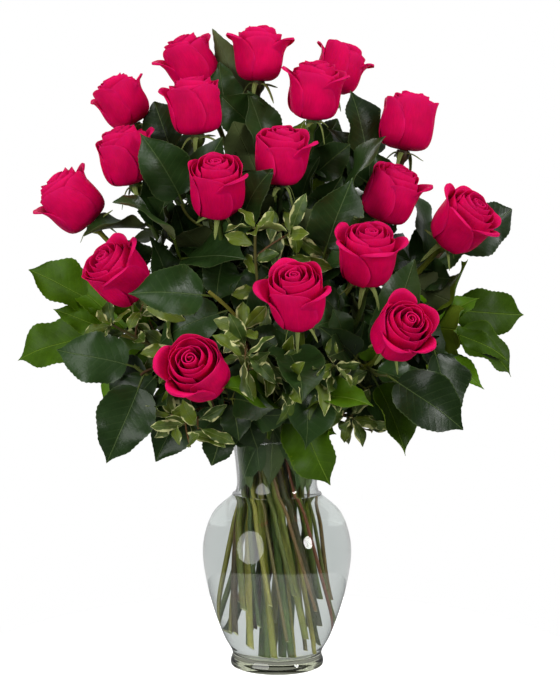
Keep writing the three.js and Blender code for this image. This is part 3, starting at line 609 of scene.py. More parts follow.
def ring_faces(rows, sides):
    """The faces between the rings of a bar, and those that close its two ends."""
    faces = [
        [row + k, row + (k + 1) % sides, row + sides + (k + 1) % sides, row + sides + k]
        for row in range(0, (rows - 1) * sides, sides) for k in range(sides)
    ]
    last = (rows - 1) * sides
    return faces + [list(range(sides))[::-1], list(range(last, last + sides))]


def tube(middles, radii, sides):
    """A round bar along a line of points."""
    middles = np.array(middles, float)
    ways = unit(np.gradient(middles, axis=0))
    corners, _ = ring_corners(zip(middles, ways, radii), sides)
    return np.concatenate(corners), ring_faces(len(middles), sides)


def shell(points, thickness):
    """A thin closed sheet about a grid of points: its upper side, its lower side and the rim between them."""
    rows, columns = points.shape[:2]
    normals = unit(np.cross(np.gradient(points, axis=0), np.gradient(points, axis=1)))
    offset = normals * np.broadcast_to(thickness, (rows, columns))[..., None] / 2
    count = rows * columns
    index = np.arange(count).reshape(rows, columns)
    upper = np.stack([index[:-1, :-1], index[1:, :-1], index[1:, 1:], index[:-1, 1:]], axis=-1).reshape(-1, 4)
    rim = np.concatenate([index[:, 0], index[-1, 1:], index[-2::-1, -1], index[0, -2:0:-1]])
    after = np.roll(rim, -1)
    sides = np.stack([after, rim, rim + count, after + count], axis=-1)
    corners = np.concatenate([(points + offset).reshape(-1, 3), (points - offset).reshape(-1, 3)])
    return corners, np.concatenate([upper, upper[:, ::-1] + count, sides]).tolist()


def both(*grids):
    """The values of a grid, for a shell's upper and lower corners."""
    return [np.tile(np.asarray(grid, float).ravel(), 2) for grid in grids]


def leaf_face(point, twist, way):
    out = unit(point - LEAVES_FROM) + FACE_LIFT * UP
    out[1] += -FACE_TURN if point[1] < BACK_HALF else FACE_TURN
    return swung(out, way, twist)


def leaf_form(root, way, seed, kind, shrunk, habit):
    size = spread(seed + 1, *habit["sizes"]) * shrunk
    return {
        "root": root, "way": way, "seed": seed,
        "face": leaf_face(root, math.radians(spread(seed + 2, *habit["twist"])), way),
        "length": kind["length"] * size, "width": kind["width"] * size,
        "droop": spread(seed + 3, *habit["droop"]), "fold": spread(seed + 4, *FOLD),
    }


def swing(attempt):
    """0, 1, -1, 2, -2 and so on."""
    return math.ceil(attempt / 2) * (1 if attempt % 2 else -1)


def side_leaf(curve, place, seed, turn, kind, attempt=0):
    """A leaf beside a stem, as the plain model tries it: turned further round, then made smaller."""
    root, along = curve.at(place), curve.way(place)
    outward = root - LEAVES_FROM
    outward = unit(outward - along * (along @ outward))
    about = swung(outward, along, turn + math.radians(BESIDE["step"]) * swing(attempt))
    opening = math.radians(spread(seed, *BESIDE["opening"]))
    way = along * math.cos(opening) + about * math.sin(opening)
    return leaf_form(root, way, seed, kind, LEAF_SIZES[attempt // TRIES_PER_SIZE], BESIDE)


def facing(leaf):
    """Which way a leaf's upper face looks, and which way is sideways on it."""
    out = unit(leaf["face"] - leaf["way"] * (leaf["way"] @ leaf["face"]))
    return out, np.cross(leaf["way"], out)


def rib_of(leaf, t):
    """A point of a leaf's middle rib, which droops from its root to its tip."""
    t = np.asarray(t, float)[..., None]
    fall = facing(leaf)[0] * leaf["droop"] * leaf["length"] * t * t
    return leaf["root"] + leaf["way"] * leaf["length"] * t - fall


def first_fit(fits, make, *given):
    """The first of a leaf's numbered tries that fits, or None where none does."""
    tries = (make(*given, attempt) for attempt in range(len(LEAF_SIZES) * TRIES_PER_SIZE))
    return next((leaf for leaf in tries if fits(leaf)), None)


def matched(tree, make, *given):
    """The try whose tip is a corner of the plain model's node, or None where it has no such leaf."""
    return first_fit(lambda leaf: tree.find(rib_of(leaf, 1))[2] < FOUND, make, *given)


def eased(share):
    """A share held between 0 and 1, with a soft start and end."""
    share = np.clip(share, 0, 1)
    return share**2 * (3 - 2 * share)


def wave(turns):
    return np.sin(2 * np.pi * turns)


def ovate(u, base, tip):
    """Relative half width along a leaf: a greater `base` or `tip` makes that end more drawn out."""
    peak = base / (base + tip)
    return u**base * (1 - u)**tip / (peak**base * (1 - peak)**tip)


def clear_of_blooms(points):
    """Moves corners of a leaf that would lie inside a bloom out to its side, so that the leaf lies on it."""
    for rose in stems[:len(ROSES)]:
        away = (points - rose["base"]) / rose["size"]
        height = away @ rose["way"]
        out = away - height[..., None] * rose["way"]
        needed = np.interp(height, OUTLINE_HEIGHTS, OUTLINE_RADII, 0, 0) - np.linalg.norm(out, axis=-1)
        points = points + unit(out) * (np.maximum(needed, 0) * rose["size"])[..., None]
    return points


def add_blade(shape, leaf, stalk, outline, rows, teeth=0.0, ripple=1.6, waves=2.3, vein_spacing=8.0, roll=0.5,
              curl=0.0, point=0.5):
    """Adds a leaf's blade. It is folded up along its rib, ripples and curls towards its edge, turns by up to
    `roll` radians about its rib, twists and bends on the way to its tip and may be finely toothed."""
    out, side = facing(leaf)
    seed = leaf["seed"]
    u = 1 - (1 - np.linspace(0.01, 0.997, rows)[:, None])**1.4
    t = stalk + (1 - stalk) * u
    turned_by = (roll * spread(seed + 14, -1, 1) + 0.7 * roll * spread(seed + 15, -1, 1) * u)[..., None]
    side, out = (side * np.cos(turned_by) + out * np.sin(turned_by),
                 out * np.cos(turned_by) - side * np.sin(turned_by))
    wide = ovate(u, *outline) * (1 + 0.05 * wave(2.1 * u + chance(seed + 16)))
    wide = wide * (1 - point * eased((u - 0.78) / 0.22))
    reach = ACROSS * wide * leaf["width"] / 2
    tooth = (np.arange(rows)[:, None] % 2) * (np.abs(ACROSS) == 1) * np.sign(ACROSS) * teeth * wide**0.5
    phase = waves * t + chance(seed + 6) + (ACROSS < 0) * 0.4 * chance(seed + 8)
    lift = (leaf["fold"] * leaf["width"] * wide * np.abs(ACROSS)**1.35
            + ripple * ACROSS**2 * wave(phase) * wide**0.5
            + (0.6 * ripple + curl) * wide * np.abs(ACROSS)**4 * spread(seed + 17, -1, 1)
            - leaf["length"] * 0.2 * chance(seed + 9) * np.maximum(0, u - 0.5)**2 * 4)
    sway = leaf["length"] * 0.1 * spread(seed + 18, -1, 1) * u**2
    points = clear_of_blooms(
        rib_of(leaf, t) + side * (reach + tooth + sway)[..., None] + out * lift[..., None])
    corners, faces = shell(points, 0.5 - 0.25 * np.abs(ACROSS))
    vein = (t * leaf["length"] - 0.62 * np.abs(reach) - 0.006 * reach**2) / vein_spacing
    rib, edge, vein = both(np.abs(reach), np.abs(ACROSS) + 0 * u, vein)
    under = np.repeat([0.0, 1.0], reach.size)
    shape.add(corners, faces, 1, rib=rib, edge=edge, vein=vein, under=under, tone=chance(seed + 12))


def add_stalk(shape, leaf, length, rings, radius, tone):
    """Adds a leaf's stalk, a little stouter where it is rooted."""
    radii = radius * (1.25 - 0.45 * np.linspace(0, 1, rings))
    shape.add(*tube(rib_of(leaf, np.linspace(0, length, rings)), radii, 6), 0, tone=tone)


def shaded(colour, by):
    return tuple(by * c for c in colour)


def leaf_finish(name, upper, lower, rib_colour, gloss, veining, shine):
    """A leathery leaf: clouded and glossy above, with a fine rib, faint sunken side veins and a thin pale
    margin, and duller and lighter below."""
    material, nodes = new_finish(name)
    under, tone, rib, edge = [nodes.value(key) for key in ("under", "tone", "rib", "edge")]
    off_vein = nodes.add("ShaderNodeMath", {"operation": "PINGPONG"}, {0: nodes.value("vein"), 1: 0.5})
    side_vein = (1 - nodes.held(off_vein, 0.0, 0.075)) * (1 - 0.8 * edge)
    net = nodes.noise(480.0, 2.0, 0.6)
    mottle = nodes.noise(120.0, 3.0, 0.6)
    clouds = nodes.noise(20.0, 3.0, 0.55)
    middle_rib = 1 - nodes.held(rib, 0.2, 0.75)
    light = nodes.held(0.5 * tone + 0.7 * clouds + 0.25 * mottle, 0.35, 1.1)
    face = nodes.mixed(light, shaded(upper, 0.5), shaded(upper, 1.6))
    face = nodes.mixed(0.6 * middle_rib + veining * side_vein, face, rib_colour)
    face = nodes.mixed(0.4 * nodes.held(edge, 0.95, 1.0), face, rib_colour)
    back = nodes.mixed(0.3 * middle_rib + clouds, shaded(lower, 0.6), shaded(lower, 1.4))
    swell = nodes.held(off_vein, 0.0, 0.3)
    height = 1.2 * clouds + 0.3 * mottle + 0.05 * swell - 0.5 * middle_rib + 0.06 * net
    nodes.surface({
        "Base Color": nodes.mixed(under, face, back),
        "Roughness": gloss + 0.22 * under + 0.3 * mottle * clouds,
        "Specular IOR Level": shine,
        "Normal": nodes.bump(0.8, 0.0013, height),
    })
    return material


def stem_finish(name, barks, red):
    """Bark, ribbed lengthwise and freckled. Each stem has another green, is redder in patches and pale at its
    cut."""
    material, nodes = new_finish(name)
    tone, cut, blush = [nodes.value(key) for key in ("tone", "cut", "blush")]
    place = nodes.add("ShaderNodeMapping", {}, {"Vector": nodes.place(), "Scale": (1, 1, 0.12)})
    grain = nodes.noise(900.0, 3.0, 0.6, place)
    patches = nodes.noise(24.0, 2.0)
    freckles = nodes.held(nodes.noise(600.0, 1.0), 0.64, 0.7)
    stops = [(k / (len(barks) - 1), colour) for k, colour in enumerate(barks)]
    bark = nodes.add("ShaderNodeValToRGB", {"stops": stops}, {"Fac": tone + 0.16 * patches - 0.08})
    bark = nodes.mixed(0.45 * grain, bark, (0.02, 0.03, 0.008))
    bark = nodes.mixed(nodes.held(blush + 1.4 * patches, 0.8, 1.3), bark, red)
    bark = nodes.mixed(freckles * 0.5, bark, (0.1, 0.05, 0.02))
    nodes.surface({
        "Base Color": nodes.mixed(cut, bark, (0.5, 0.52, 0.27)),
        "Roughness": 0.45 + 0.2 * grain + 0.2 * cut,
        "Specular IOR Level": 0.3,
        "Normal": nodes.bump(0.5, 0.0005, grain),
    })
    return material


cane_bark = stem_finish("rose_cane_bark", [
    (0.01, 0.036, 0.002), (0.2, 0.2, 0.01), (0.018, 0.065, 0.003), (0.34, 0.31, 0.045), (0.045, 0.085, 0.004),
    (0.01, 0.026, 0.003), (0.075, 0.014, 0.005),
], (0.1, 0.02, 0.006))
rose_leaf_skin = leaf_finish(
    "rose_leaf_skin", (0.016, 0.038, 0.007), (0.075, 0.1, 0.032), (0.075, 0.11, 0.03), 0.3, 0.2, 0.25)
sepal_skin = leaf_finish(
    "sepal_skin", (0.085, 0.13, 0.02), (0.2, 0.24, 0.07), (0.24, 0.28, 0.09), 0.5, 0.0, 0.15)


def add_stem(shape, stem, tail=()):
    """Adds a stem from its slanting cut foot to its end. `tail` adds rings beyond it: (distance, radius)."""
    place, radius = stem["place"], stem["radius"]
    spots = np.linspace(0, 1, 30)
    heights = np.linspace(stem["foot"] + 3, STEM_EXIT - 4, 12)
    foot = stem_point(place, stem["foot"])
    middles = [foot, foot + 0.4 * stem["start_way"], *[stem_point(place, height) for height in heights],
               *stem["curve"].at(spots)]
    run = np.concatenate([np.zeros(len(heights) + 2), spots])
    joints = np.linspace(0.15, 0.9, 5) + 0.1 * (chance(int(stem["foot"] * 31)) - 0.5)
    swelling = sum(np.exp(-((run - joint) / 0.012) ** 2) for joint in joints)
    radii = radius * (1 - STEM_TAPER * run) * (1 + 0.22 * swelling)
    middles += [stem["end"] + stem["way"] * distance for distance, _ in tail]
    radii = np.concatenate([radii, [wide for _, wide in tail]])
    sides = 10 if radius > 2.5 else 8
    corners, faces = tube(middles, radii, sides)
    turns = 2 * np.pi * np.arange(sides)[:, None] / sides
    for ring in (0, 1):
        corners[ring * sides:(ring + 1) * sides] += stem["start_way"] * radius * 0.6 * (1 - np.cos(turns))
    cut = np.zeros(len(corners))
    cut[:sides] = 1
    shape.add(corners, faces, 0, tone=chance(int(stem["foot"] * 57)), cut=cut)


def add_prickle(shape, root, way, out):
    """Adds a small hooked prickle, red at its point."""
    corners, faces = tube([root - 0.7 * out, root + 1.2 * out - 0.2 * way, root + 3.4 * out - 1.5 * way],
                          [1.5, 0.8, 0.06], 5)
    shape.add(corners, faces, 0, tone=0.5, blush=np.repeat([0.1, 0.6, 1.0], 5))


def add_sepal(shape, root, tip, round_way, axis, seed):
    """Adds a narrow pointed sepal that leaves the hip sideways and hangs down to its tip."""
    hangs = max(0, unit(root - tip) @ axis)
    rib = Curve(root, root + (8 - 3 * hangs) * round_way + 1.5 * axis,
                root * 0.35 + tip * 0.65 + 3 * hangs * round_way, tip)
    t = np.linspace(0, 1, 10)[:, None]
    a = np.array([1, 0.5, 0, -0.5, -1])
    half = 3.4 * (1 - t)**0.9 * (0.8 + 0.4 * t) + 0.2 + 0.4 * np.exp(-((t - 0.8) / 0.1)**2)
    side = np.cross(axis, round_way)
    twist = 0.7 * (chance(seed + 3) - 0.5)
    ways = rib.way(t[:, 0])
    out = unit(np.cross(ways, side))
    across = side * math.cos(twist) + out * math.sin(twist)
    points = rib.at(t[:, 0])[:, None] + across[:, None] * (a * half)[..., None]
    points = points - out[:, None] * (1.1 * a**2 * (1 - t))[..., None]
    corners, faces = shell(points, 0.5)
    edge, vein = both(np.abs(a) + 0 * t, 2 * t + 0.5 + 0 * a)
    shape.add(corners, faces, 2, edge=edge, rib=edge * 3, vein=vein,
              under=np.repeat([0.3, 0.8], points.size // 3), tone=chance(seed + 4))


def as_seen(points):
    """Where points appear to the viewer, across and up, brought to the plane through the vase's axis."""
    near = 1 + points[..., 1] / VIEWER_AWAY
    return np.stack([points[..., 0] / near, VIEWER_HEIGHT + (points[..., 2] - VIEWER_HEIGHT) / near], axis=-1)


def has_room(leaf):
    """Whether a leaf stays inside the plain model's box, over the vase's rim and clear of the blooms, and
    hides none of them from the viewer."""
    t = np.array([0.25, 0.5, 0.5, 0.5, 0.75, 0.75, 1.0])
    a = np.array([0, 0, 1, -1, 0.7, -0.7, 0])
    points = rib_of(leaf, t) + facing(leaf)[1] * (a * leaf["width"] / 2)[:, None]
    low, high = np.array(cad_box) / MM
    if (points < low).any() or (points > high).any() or (points[:, 2] < VASE_HEIGHT + RIM_ROOM).any():
        return False
    for rose in stems[:len(ROSES)]:
        room = BLOOM_ROOM * rose["size"]
        away = points - rose["middle"]
        apart = np.linalg.norm(as_seen(points) - as_seen(rose["middle"]), axis=1)
        if (np.linalg.norm(away, axis=1) < room).any() or ((apart < room) & (away[:, 1] < 0)).any():
            return False
    return True


def spare_leaves(curve, seed, kind, shift=0.0):
    """Further leaves beside a stem, where there is room for them. The plain model goes without them."""
    for k, place in enumerate(SPARE_PLACES):
        own = seed + 40 * k
        leaf = first_fit(has_room, side_leaf, curve, place + shift * chance(own), own,
                         2 * math.pi * chance(own + 5), kind)
        if leaf:
            yield leaf


def single_leaves(table, number, curve, seed):
    """A table's leaves on one stem, each from root to tip, with its face or underside to the viewer."""
    for k, (stem_number, place, tip, width, side_seen) in enumerate(table):
        if stem_number == number:
            root = curve.at(place)
            length = np.linalg.norm(tip - root)
            yield {
                "root": root, "way": (tip - root) / length, "seed": seed + 50 * k,
                "face": np.array([0.3 * side_seen, -1.0 * side_seen, 0.4]),
                "length": length, "width": width, "droop": 0.05, "fold": 0.12,
            }


def add_rose_leaf(shape, seat, leaf, rows):
    """Adds a rose leaf: a leaflet at the stalk's end and two beside it."""
    stalk_end = rib_of(leaf, ROSE_LEAF["stalk"])
    add_stalk(shape, leaf, ROSE_LEAF["stalk"] + 0.03, 6, 0.9, 0.4)
    add_blade(shape, leaf, ROSE_LEAF["stalk"], (0.5, 0.62), rows, 0.9)
    fork = seat * (1 - ROSE_PAIR["place"]) + stalk_end * ROSE_PAIR["place"]
    sideways = unit(np.cross(leaf["way"], leaf["face"]))
    for hand in (1, -1):
        leaflet = {
            **leaf, "root": fork, "way": unit(leaf["way"] + sideways * ROSE_PAIR["slant"] * hand),
            "length": leaf["length"] * ROSE_PAIR["length"], "width": leaf["width"] * ROSE_PAIR["width"],
            "droop": spread(leaf["seed"] + 10 + hand, 0.08, 0.25), "seed": leaf["seed"] + 20 + hand,
        }
        add_stalk(shape, leaflet, ROSE_PAIR["stalk"], 4, 0.7, 0.4)
        add_blade(shape, leaflet, ROSE_PAIR["stalk"] - 0.04, (0.5, 0.6), rows - 6, 0.8)


for i, stem in enumerate(stems[:len(ROSES)]):
    axis, curve = stem["way"], stem["curve"]
    shape = Shape()
    add_stem(shape, stem, HIP_RINGS)
    for k in range(PRICKLES):
        seed = 90 * i + k
        place = 0.2 + 0.17 * k + 0.1 * chance(seed)
        way = curve.way(place)
        out = swung(unit(np.cross(way, UP + 0.01)), way, 2 * math.pi * chance(seed + 40))
        add_prickle(shape, curve.at(place) + out * 2.3, way, out)
    side = unit(stem["side"] - axis * (stem["side"] @ axis))
    across = np.cross(axis, side)
    for k in range(SEPALS):
        angle = 2 * math.pi * (k + 0.5) / SEPALS
        round_way = side * math.cos(angle) + across * math.sin(angle)
        seed = SEED["sepals"] + 20 * i + k
        way = unit(round_way + axis * spread(seed, -1.6, 0.05))
        tip = stem["base"] - axis * SEPAL_BELOW + way * SEPAL_LENGTH * spread(seed + 9, 0.8, 1.15)
        root = stem["base"] - axis * SEPAL_ROOT[0] + round_way * SEPAL_ROOT[1]
        add_sepal(shape, root, tip, round_way, axis, seed)
    seed = SEED["rose_leaves"] + 40 * i
    turn = 2 * math.pi * chance(seed + 7)
    leaf = matched(stem["tree"], side_leaf, curve, ROSE_LEAF["place"], seed, turn, ROSE_LEAF)
    if leaf:
        add_rose_leaf(shape, bar_point(curve, STEM_SPOTS, ROSE_LEAF["place"]), leaf, 30)
    for leaf in spare_leaves(curve, SEED["spare_rose_leaves"] + 400 * i, SPARE_ROSE_LEAF, 0.05):
        add_rose_leaf(shape, leaf["root"], leaf, 22)
    for leaf in single_leaves(SINGLE_ROSE_LEAVES, i + 1, curve, SEED["single_rose_leaves"]):
        add_stalk(shape, leaf, 0.13, 5, 1.0, 0.4)
        add_blade(shape, leaf, 0.1, (0.5, 0.65), 28, 0.9, 2.6, curl=3)
    piece = shape.build(label("rose_stem_and_leaf", i), [cane_bark, rose_leaf_skin, sepal_skin])
    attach(piece, "root")
    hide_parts(label("rose_stem", i))

# ---------------------------------------------------------------- blooms
# A rose is a cup of velvety petals about a tight spiral heart. Its five outer petals lean outwards and roll
# their lips back to a point. Three rings of three lie inside them, each petal over one neighbour and under
# the other.

PETAL_THICKNESS = 0.7
PETAL_FOOT = 0.6  # a petal's width at its foot, beside its greatest one
START_SHIFT = 11  # picks how far round each bloom is turned
OUTER_FOOT = np.array([(4, 0.3), (14, 1.4), (21.4, 4.8), (24.8, 11.5), (25.8, 20), (25.4, 30), (24.6, 38)])
OUTER_SIDE = np.array([(4, 0.3), (13.5, 1.4), (20.6, 4.8), (23.9, 11.5), (24.9, 20), (24.4, 29), (23.7, 34)])
RAISED = np.array([0, 0, 0, 0, 0, 0, 1])[:, None]  # 1 at the points of a profile that sink with its lip
NODDING = 24  # roses that nod more than this show the viewer their hearts, and roll their near petals too


velvet_petal, nodes = new_finish("velvet_petal")
lip, tone, along = [nodes.value(key) for key in ("lip", "tone", "along")]
lengthwise = {"X": nodes.value("fibre"), "Y": along * 0.9, "Z": tone * 7.0}
fibres = nodes.noise(7.0, 3.0, 0.6, nodes.add("ShaderNodeCombineXYZ", {}, lengthwise))
bruises = nodes.noise(60.0, 2.0)
velvet = nodes.noise(1500.0, 2.0, 0.6)
shade = nodes.held(0.4 * fibres + 0.6 * bruises, 0.3, 0.7)
colour = nodes.mixed(shade, (0.4, 0.0, 0.046), (0.6, 0.0, 0.068))
colour = nodes.mixed(0.3 * tone, colour, (0.36, 0.0, 0.04))
nodes.surface({
    # Towards each rim, `lip` mixes in a lighter pink: a painted highlight where the petal edges catch the
    # light.
    "Base Color": nodes.mixed(lip * 0.5, colour, (0.78, 0.012, 0.15)),
    "Roughness": 0.6 + 0.12 * bruises,
    "Specular IOR Level": 0.04,
    "Subsurface Weight": 0.3,
    "Subsurface Radius": (1.0, 0.05, 0.2),
    "Subsurface Scale": 0.004,
    "Sheen Weight": 0.05,
    "Sheen Roughness": 0.4,
    "Sheen Tint": (1.0, 0.0, 0.2, 1),
    "Normal": nodes.bump(0.4, 0.002, 0.2 * fibres + 0.5 * bruises + 0.06 * velvet),
})


def line_at(points, shares):
    """The points of a smooth curve at shares of its length."""
    fine = smooth_line(points, 61)
    spots = np.linspace(0, 1, len(fine))
    return np.stack([np.interp(shares, spots, fine[:, axis]) for axis in range(fine.shape[1])], axis=-1)


def bloom_points(rose, radius, angle, height):
    """Points of a bloom, from their distance from its axis, their angle about it and their height on it."""
    parts = (radius * np.cos(angle), radius * np.sin(angle), height)
    across, inwards, up = [part[..., None] for part in parts]
    return rose["base"] + rose["size"] * (across * rose["right"] + inwards * rose["front"] + up * rose["way"])


def add_petal(shape, rose, middle, half, lap, crest, dip, rows, columns, corner, seed, point, tilt,
              fall=0.62):
    """Adds a petal, narrow at its foot. `crest` and `dip` are its profiles, as radius and height, at its
    middle and its sides. `lap` lifts one side outwards and tucks the other in, `corner` is how wide its lip
    is beside its belly, a small `point` draws the lip out to a point, `tilt` is how far one side may stand
    higher, and a great `fall` makes the lip sink evenly from its middle."""
    s = np.linspace(0, 1, rows)[:, None]**0.8
    a = np.sin(np.linspace(math.pi / 2, -math.pi / 2, columns))[None, :]
    crest, dip = line_at(crest, s[:, 0]), line_at(dip, s[:, 0])
    arch = (1 - np.abs(a)**point)**fall
    radius = dip[:, :1] + (crest[:, :1] - dip[:, :1]) * arch
    height = dip[:, 1:] + (crest[:, 1:] - dip[:, 1:]) * arch
    upper = np.clip((s - 0.45) / 0.55, 0, 1)
    ruffle = 0.4 * (wave(0.9 * a + chance(seed)) + 0.4 * wave(1.7 * a + chance(seed + 1)))
    fold = 0.7 * wave(0.8 * a + 0.7 * s + chance(seed + 2)) * np.sin(np.pi * s)
    radius = radius + lap * a * np.clip(s * 3, 0, 1) * (1 - 0.4 * upper) + ruffle * upper**2 + fold
    height = height + (ruffle + tilt * a * spread(seed + 2, -1, 1)) * upper**2
    width = (PETAL_FOOT + (1 - PETAL_FOOT) * eased(s / 0.65)) * (1 - (1 - corner) * upper**2.6)
    points = bloom_points(rose, radius, middle + half * a * width, height)
    rim = np.maximum(s**9, np.abs(a)**14 * np.clip(s * 2 - 0.6, 0, 1))
    corners, faces = shell(points, PETAL_THICKNESS * (1 - 0.6 * rim))
    # `lip` also marks where the finish paints the lighter rim highlight.
    lip, along, fibre = both(rim, s + 0 * a, a * half * 4 + 0 * s)
    shape.add(corners, faces, 0, lip=lip, along=along, fibre=fibre, tone=chance(seed + 3))


def add_heart(shape, rose, opened, seed):
    """Adds the rolled-up petals in the middle, whose rims wind inwards as a spiral."""
    turns = np.linspace(0, 1, 60)[None, :]
    s = np.linspace(0, 1, 8)[:, None]**0.8
    angle = 2 * np.pi * (chance(seed) + 2.2 * turns)
    radius = 7.8 + 1.4 * opened - 6 * turns - 1.4 * opened * turns + 0.5 * np.sin(2.5 * angle)
    radius = radius * (1 - 0.14 * s**3)
    height = 28 + s * (30 - 4 * opened + 0.9 * np.sin(angle * 1.25 + 1) - 1.5 * turns)
    points = bloom_points(rose, radius, angle + 0 * s, height)
    corners, faces = shell(points, 0.6)
    # The heart's rims get the same painted highlight through `lip`.
    lip, along, fibre = both(s**9 + 0 * turns, s + 0 * turns, angle + 0 * s)
    shape.add(corners, faces, 0, lip=lip, along=along, fibre=fibre, tone=chance(seed + 3))


for i, (at, lean, nod, size, o) in enumerate(ROSES):
    rose = stems[i]
    rose["right"] = unit(np.array([1.0, 0, 0]) - rose["way"] * rose["way"][0])
    rose["front"] = np.cross(rose["way"], rose["right"])
    start = 2 * math.pi * chance(i + START_SHIFT)
    shape = Shape()
    for k in range(5):
        seed = SEED["petals"] + 60 * i + 5 * k
        middle = start + 2 * math.pi * (3 * k + 1) / 15
        to_viewer = -math.cos(middle) * rose["right"][1] - math.sin(middle) * rose["front"][1]
        roll, drop = chance(seed + 4), spread(seed + 6, 0, 6)
        if to_viewer > 0.5 and nod < NODDING:
            roll, drop = 0.3 * roll, 1.5 * drop
        else:
            roll = 0.1 + 0.3 * roll if roll < 0.35 else 0.75 + 0.4 * (roll - 0.35)
        upright = np.array([(24.2, 43), (23.9, 46.5), (23.8, 49.5), (23.8, 52), (24, 53.5)])
        rolled = np.array([
            (28.2 + o, 43), (30.4 + 1.5 * o, 47), (33 + 2 * o, 50.2), (35.4 + 2.5 * o, 50.8 - 0.5 * o),
            (36.4 + 2.5 * o, 48.6 - o),
        ])
        lip = upright + (rolled - upright) * roll - (0, drop)
        side_lip = np.array([(23.7, 37), (23.9 + o, 39), (24.2 + 1.5 * o, 40.5), (24.4 + 1.5 * o, 41.5)])
        flare = roll * np.array([(0, 0), (-0.5, 0), (-1.8, 0.2), (-1.8, 0.5), (-1, 0), (0.6, 0), (2.2, 0)])
        crest = [*(OUTER_FOOT - (0, 0.8 * drop) * RAISED + flare), *lip]
        dip = [*(OUTER_SIDE - (0, 0.5 * drop) * RAISED + 0.6 * flare), *(side_lip - (0, drop))]
        add_petal(shape, rose, middle, math.radians(62), 1.5, crest, dip, 22, 25, 0.86 - 0.36 * roll, seed,
                  2.2 - 0.5 * roll, 1.5)
    for k in range(3):
        seed = SEED["petals"] + 60 * i + 25 + 5 * k
        roll, drop = 0.6 * chance(seed + 4)**2, spread(seed + 6, 0, 4)
        crest = [(15.5, 8), (21.4, 15), (23.2, 26), (22.5, 36 - drop), (21.6 + o, 43.5 - drop),
                 (21 + 1.2 * roll + 2 * o, 48.5 - drop), (20.6 + 3 * roll + 2.4 * o, 52 - o - drop)]
        dip = [(15, 8), (20.6, 15), (22.1, 24), (21.4, 33 - drop), (20.5 + o, 40 - drop),
               (20.2 + o, 43.5 - drop), (20 + 1.5 * o, 46 - drop)]
        middle = start + 2 * math.pi * (k + 0.25 + 0.2 * chance(seed + 5)) / 3
        add_petal(shape, rose, middle, math.radians(84), 1.9, crest, dip, 15, 27, 0.95, seed, 2.2, 1.6, 0.8)
    for order, (wide, belly, lip_radius, rise, lap) in enumerate([
        (88, 18.6, 15.6 + 3.6 * o, 55.4 - 1.5 * o, 2.5),
        (86, 13.8, 10.6 + 2.6 * o, 58.2 - 3.5 * o, 2.3),
    ]):
        for k in range(3):
            seed = SEED["petals"] + 60 * i + 57 + 20 * order + 5 * k
            curl, size_of = spread(seed + 4, -0.7, 0.9), spread(seed + 8, 0.93, 1.07)
            crest = [(belly * 0.85, 22), (belly, 31), (belly * 0.985, 42), (lip_radius + 0.9, rise - 6),
                     (lip_radius - 0.1, rise - 2), (lip_radius + curl, rise)]
            dip = [(belly * 0.8, 22), (belly * 0.94, 29), (belly * 0.92, 38), (lip_radius * 0.94, rise - 12),
                   (lip_radius * 0.9, rise - 8), (lip_radius * 0.89, rise - 5.5)]
            crest, dip = np.array(crest) * (size_of, 1), np.array(dip) * (size_of, 1)
            middle = start + order * 1.3 + 2 * math.pi * (k + 0.3 * chance(seed + 5)) / 3
            add_petal(shape, rose, middle, math.radians(wide), lap, crest, dip, 12, 25, 0.95, seed, 2.2, 0.9,
                      0.85)
    add_heart(shape, rose, o, SEED["petals"] + 60 * i + 59)
    bloom = shape.build(label("rose_petals", i), [velvet_petal], 75)
    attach(bloom, "root")
    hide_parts(label("rose_bloom", i))

# ---------------------------------------------------------------- broad-leaved greens
# Florist's greens: woody shoots with large leathery ovate leaves, glossy and dark above and olive below, with
# a pale middle rib, faint side veins and a fine toothed edge. Ten sprays are deep green and four brighter.
# Low leaves of the deep ones are caught upright in the neck of the vase: partly stripped leaves and partly
# painted shade, dark sheets that darken the neck between the stems and the glass.

GREEN_LEAF = {"length": 86, "width": 56, "spacing": 35, "stalk": 0.14}
SPARE_GREEN_LEAF = {"length": 72, "width": 44}
# Single leaves on the sprays' stems, as those on the rose stems are given.
SINGLE_GREEN_LEAVES = [
    (1, 0.88, (-221, -20, 360), 34, 1), (1, 0.8, (-212, 5, 398), 36, 1), (1, 0.7, (-170, -20, 390), 38, 1),
    (5, 1.0, (-40, -152, 294), 46, 1), (5, 0.96, (76, -138, 286), 48, 1), (3, 0.85, (204, 5, 374), 28, 1),
    (3, 0.8, (204, -25, 284), 26, 1), (3, 0.9, (232, -15, 318), 26, 1), (8, 0.8, (172, -10, 395), 40, 1),
    (9, 0.9, (-130, 0, 497), 44, 1), (9, 0.8, (-100, -5, 460), 46, 1), (6, 0.85, (60, 30, 548), 38, 1),
]
# Further low leaves at the two sides of the neck, partly painted shade: the spray, the angle about the axis
# and the height of the foot.
SIDE_NECK_SHADE_LEAVES = [
    (2, -30, 178), (4, -14, 186), (6, 26, 177), (7, 12, 190), (8, -44, 180), (9, 208, 178), (10, 154, 177),
    (12, 194, 188), (13, 222, 180), (14, 168, 180),
]
NECK_LEAF_FOOT = (178, 214)
NECK_LEAF_LENGTH = (34, 56)
NECK_LEAF_RADIUS = 38.3
LEAVES_PER_ARM = 3
BARE_SHARE = 0.12  # of an arm, from its fork, without leaves
ARM_FORKS = [0.42, 0.55]  # where a spray's second and third arms leave its first
ARM_SPOTS = [0, 0.5, 1]  # where the plain model's arms have rings
END_PLACE = 0.96  # where an arm's last leaf is rooted


def arm_radius(t):
    return GREEN_STEM_RADIUS * (0.85 - STEM_TAPER * t)


def end_leaf(root, way, seed, kind, attempt):
    """The leaf at an arm's end, which carries on where the arm points."""
    way = swung(way, UP, math.radians(AT_END["step"]) * swing(attempt))
    return leaf_form(root, way, seed, kind, LEAF_SIZES[min(attempt // TRIES_PER_SIZE, 1)], AT_END)


